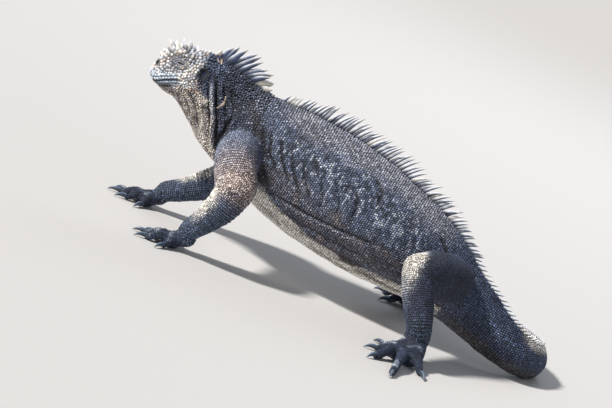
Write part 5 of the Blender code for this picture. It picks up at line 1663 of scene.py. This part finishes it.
HORN = horn_finish()
spine_faces = tube_faces(len(SPINE_RINGS), SPINE_SIDES)
spine_turn = np.arange(SPINE_SIDES) * 2 * math.pi / SPINE_SIDES
spine_ring = np.column_stack([np.cos(spine_turn), np.sin(spine_turn)])
for label, first, last in (("crest_nape", 0, 11), ("crest_back", 11, 20.25), ("crest_tail", 20.25, 36)):
    shapes, faces, tints, maps, start = [], [], [], [], 0
    for spine in spines:
        if not first <= spine[0] < last:
            continue
        shape, flip = spine_shape(*spine)
        shapes.append(shape)
        faces.append((spine_faces[:, ::-1] if flip else spine_faces) + start)
        start += len(shape)
        share = np.repeat(np.array(SPINE_RINGS), SPINE_SIDES).clip(0, 1)
        bright = {"crest_nape": 0.0, "crest_back": 0.12, "crest_tail": 0.05}[label]
        if random.random() < bright or spine[0] < 7.0 or 9.6 < spine[0] < 10.4 or 11.6 < spine[0] < 12.0:
            body_tint = srgb(224, 216, 202) * random.uniform(0.75, 1.05)
        else:
            body_tint = srgb(66, 80, 110) * random.uniform(0.50, 1.30)
        # Painted shade at the root of each spine, where it meets the back.
        root_shade_tint = srgb(46, 50, 62)
        tint = over(np.tile(body_tint, (len(share), 1)), root_shade_tint, 1 - ease(0.02, 0.34, share))
        tint = over(tint, CREAM, ease(0.72, 1.0, share) * 0.7)
        # A pale front edge on each spine: partly its own pale horn, partly a painted highlight where it
        # faces the light.
        pale_from, pale_to = (-0.35, -0.95) if label == "crest_nape" else (0.40, -0.50)
        front = ease(pale_from, pale_to, np.cos(spine_turn))
        front_edge_highlight = np.tile(front, len(SPINE_RINGS))
        tint = over(tint, srgb(226, 229, 235), front_edge_highlight * 0.95 * ease(0.08, 0.35, share))
        tints.append(tint)
        spot = Chart(shape[:1])
        around_root = np.tile(spine_ring, (len(SPINE_RINGS), 1))
        maps.append(unwrap(spot) + around_root * (0.0016 * (1 - 0.8 * share))[:, None])
    shapes, faces = np.vstack(shapes), np.vstack(faces)
    shapes[:, 2] = np.maximum(shapes[:, 2], 0.0003)
    made = mesh_piece(label, shapes, faces, HORN)
    paint_on(made.data, np.clip(np.vstack(tints), 0, 1))
    map_on(made.data, np.vstack(maps), faces)
    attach(made, "root")
    "head_scales" if label == "crest_nape" else "skin"


# Shed skin: a few dry strips of old skin that still hang from the nape and the side of the neck.
# Each is a thin curled flake, fixed along its root and standing off at its loose end.
STRIPS = (  # line in side view, half width and how far the loose end stands off
    (((-0.1378, 0.1905), (-0.1366, 0.1855), (-0.1346, 0.1800), (-0.1330, 0.1745)), 0.0016, 0.0014),
    (((-0.1152, 0.1505), (-0.1148, 0.1460), (-0.1156, 0.1412), (-0.1172, 0.1378)), 0.0013, 0.0018),
)
STRIP_RINGS = 15
strip_points, strip_faces = [], []
for line, half, stand in STRIPS:
    line = np.array(line)
    share = np.linspace(0, 1, STRIP_RINGS)
    marks = share * (len(line) - 1)
    middle = np.column_stack([np.interp(marks, np.arange(len(line)), line[:, k]) for k in range(2)])
    along_strip = unit(np.gradient(middle, axis=0))
    strip_faces.append(tube_faces(STRIP_RINGS, 4) + len(strip_points))
    for i, (flat, way) in enumerate(zip(middle, along_strip)):
        taper = half * (0.35 + 0.65 * math.sin(math.pi * min(1.0, 0.15 + share[i])) ** 0.6)
        taper = taper * random.uniform(0.7, 1.15)
        for side_step, lift in ((-1, 0.0001), (0, 0.0008), (1, 0.0002), (0, 0.0002)):
            x, z = flat + np.array((-way[1], way[0])) * taper * side_step
            hit = skin_tree.ray_cast(Vector((x, -0.06, z)), Vector((0, 1, 0)), 0.06)
            if hit[0] is None:
                hit = skin_tree.find_nearest(Vector((x, -0.012, z)))
            off = 0.0008 + lift + stand * share[i] ** 2 + 0.0003 * side_step * math.sin(i)
            strip_points.append(np.array(hit[0]) + np.array(hit[1]) * off)
strip_points, strip_faces = np.array(strip_points), np.vstack(strip_faces)
strip_tint = srgb(206, 184, 164) * (0.8 + 0.3 * grain(strip_points, 0.0025, 21))[:, None]
shed = mesh_piece("shed_skin", strip_points, strip_faces, SCALES)
paint_on(shed.data, np.clip(strip_tint, 0, 1))
map_on(shed.data, unwrap(Chart(strip_points)), strip_faces)
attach(shed, "root")


# Claws: long, strong and hooked, dark horn with a blue-grey upper edge that is partly painted highlight,
# each growing from the scaly end of its digit and curving down to the floor.
def claw_finish():
    made = Finish("dark claw horn")
    paint = made.attribute("paint")
    streaks = made.noise(700.0, 3.0, 0.6)
    made.set(
        Base_Color=made.mix(streaks * 0.3, paint, (0.14, 0.18, 0.25)),
        Roughness=0.26 + streaks * 0.22,
        Normal=made.bump(streaks, 0.2, 0.0003),
    )
    return made.material


CLAWS = claw_finish()
CLAW_RINGS, CLAW_SIDES = 12, 12
claw_faces = tube_faces(CLAW_RINGS, CLAW_SIDES)
for limb, digits in DIGITS.items():
    node = ("hand_" if limb.startswith("arm") else "foot_") + limb.split("_")[1]
    for number, digit in enumerate(digits, start=1):
        rows, flat, touch = digit_line(digit)
        hub = rows[-1, :3]
        root = hub - flat * 0.0016 + np.array((0, 0, 0.0003))
        crook = hub + flat * (CLAW_LENGTH * 0.42) + np.array((0, 0, 0.0024))
        tip = np.array((touch[0], touch[1], 0.0004))
        share = np.linspace(0, 1, CLAW_RINGS)[:, None]
        line = root * (1 - share) ** 2 + 2 * crook * share * (1 - share) + tip * share**2
        taper = np.interp(share[:, 0], (0, 0.25, 0.6, 0.85, 1), (0.98, 1.0, 0.68, 0.34, 0.06))
        size = CLAW_RADIUS * taper
        ahead = unit(np.gradient(line, axis=0))
        side = unit(np.cross((0, 0, 1.0), ahead))
        above = np.cross(ahead, side)
        turn = np.arange(CLAW_SIDES) * 2 * math.pi / CLAW_SIDES
        hollow = 1 - 0.30 * np.maximum(-np.sin(turn), 0)
        shape = line[:, None] + size[:, None, None] * (
            side[:, None] * (0.78 * np.cos(turn))[None, :, None]
            + above[:, None] * (1.12 * np.sin(turn) * hollow)[None, :, None])
        shape = shape.reshape(-1, 3)
        shape[:, 2] = np.maximum(shape[:, 2], 0.0002)
        claw = mesh_piece(f"{node}_nail_{number}", shape, claw_faces, CLAWS)
        # The claw's blue-grey edge, kept to its upper side as a painted highlight.
        lit_upper_edge = np.tile(ease(0.3, 1.0, np.sin(turn)), CLAW_RINGS)
        tint = over(np.tile(srgb(36, 41, 52), (len(shape), 1)), srgb(112, 134, 160), lit_upper_edge * 0.70)
        tint = over(tint, srgb(150, 146, 136), np.repeat(ease(0.8, 1.0, share[:, 0]), CLAW_SIDES) * 0.35)
        paint_on(claw.data, tint)
        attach(claw, "root")
        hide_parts(f"{node}_claw_{number}")


low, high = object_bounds()
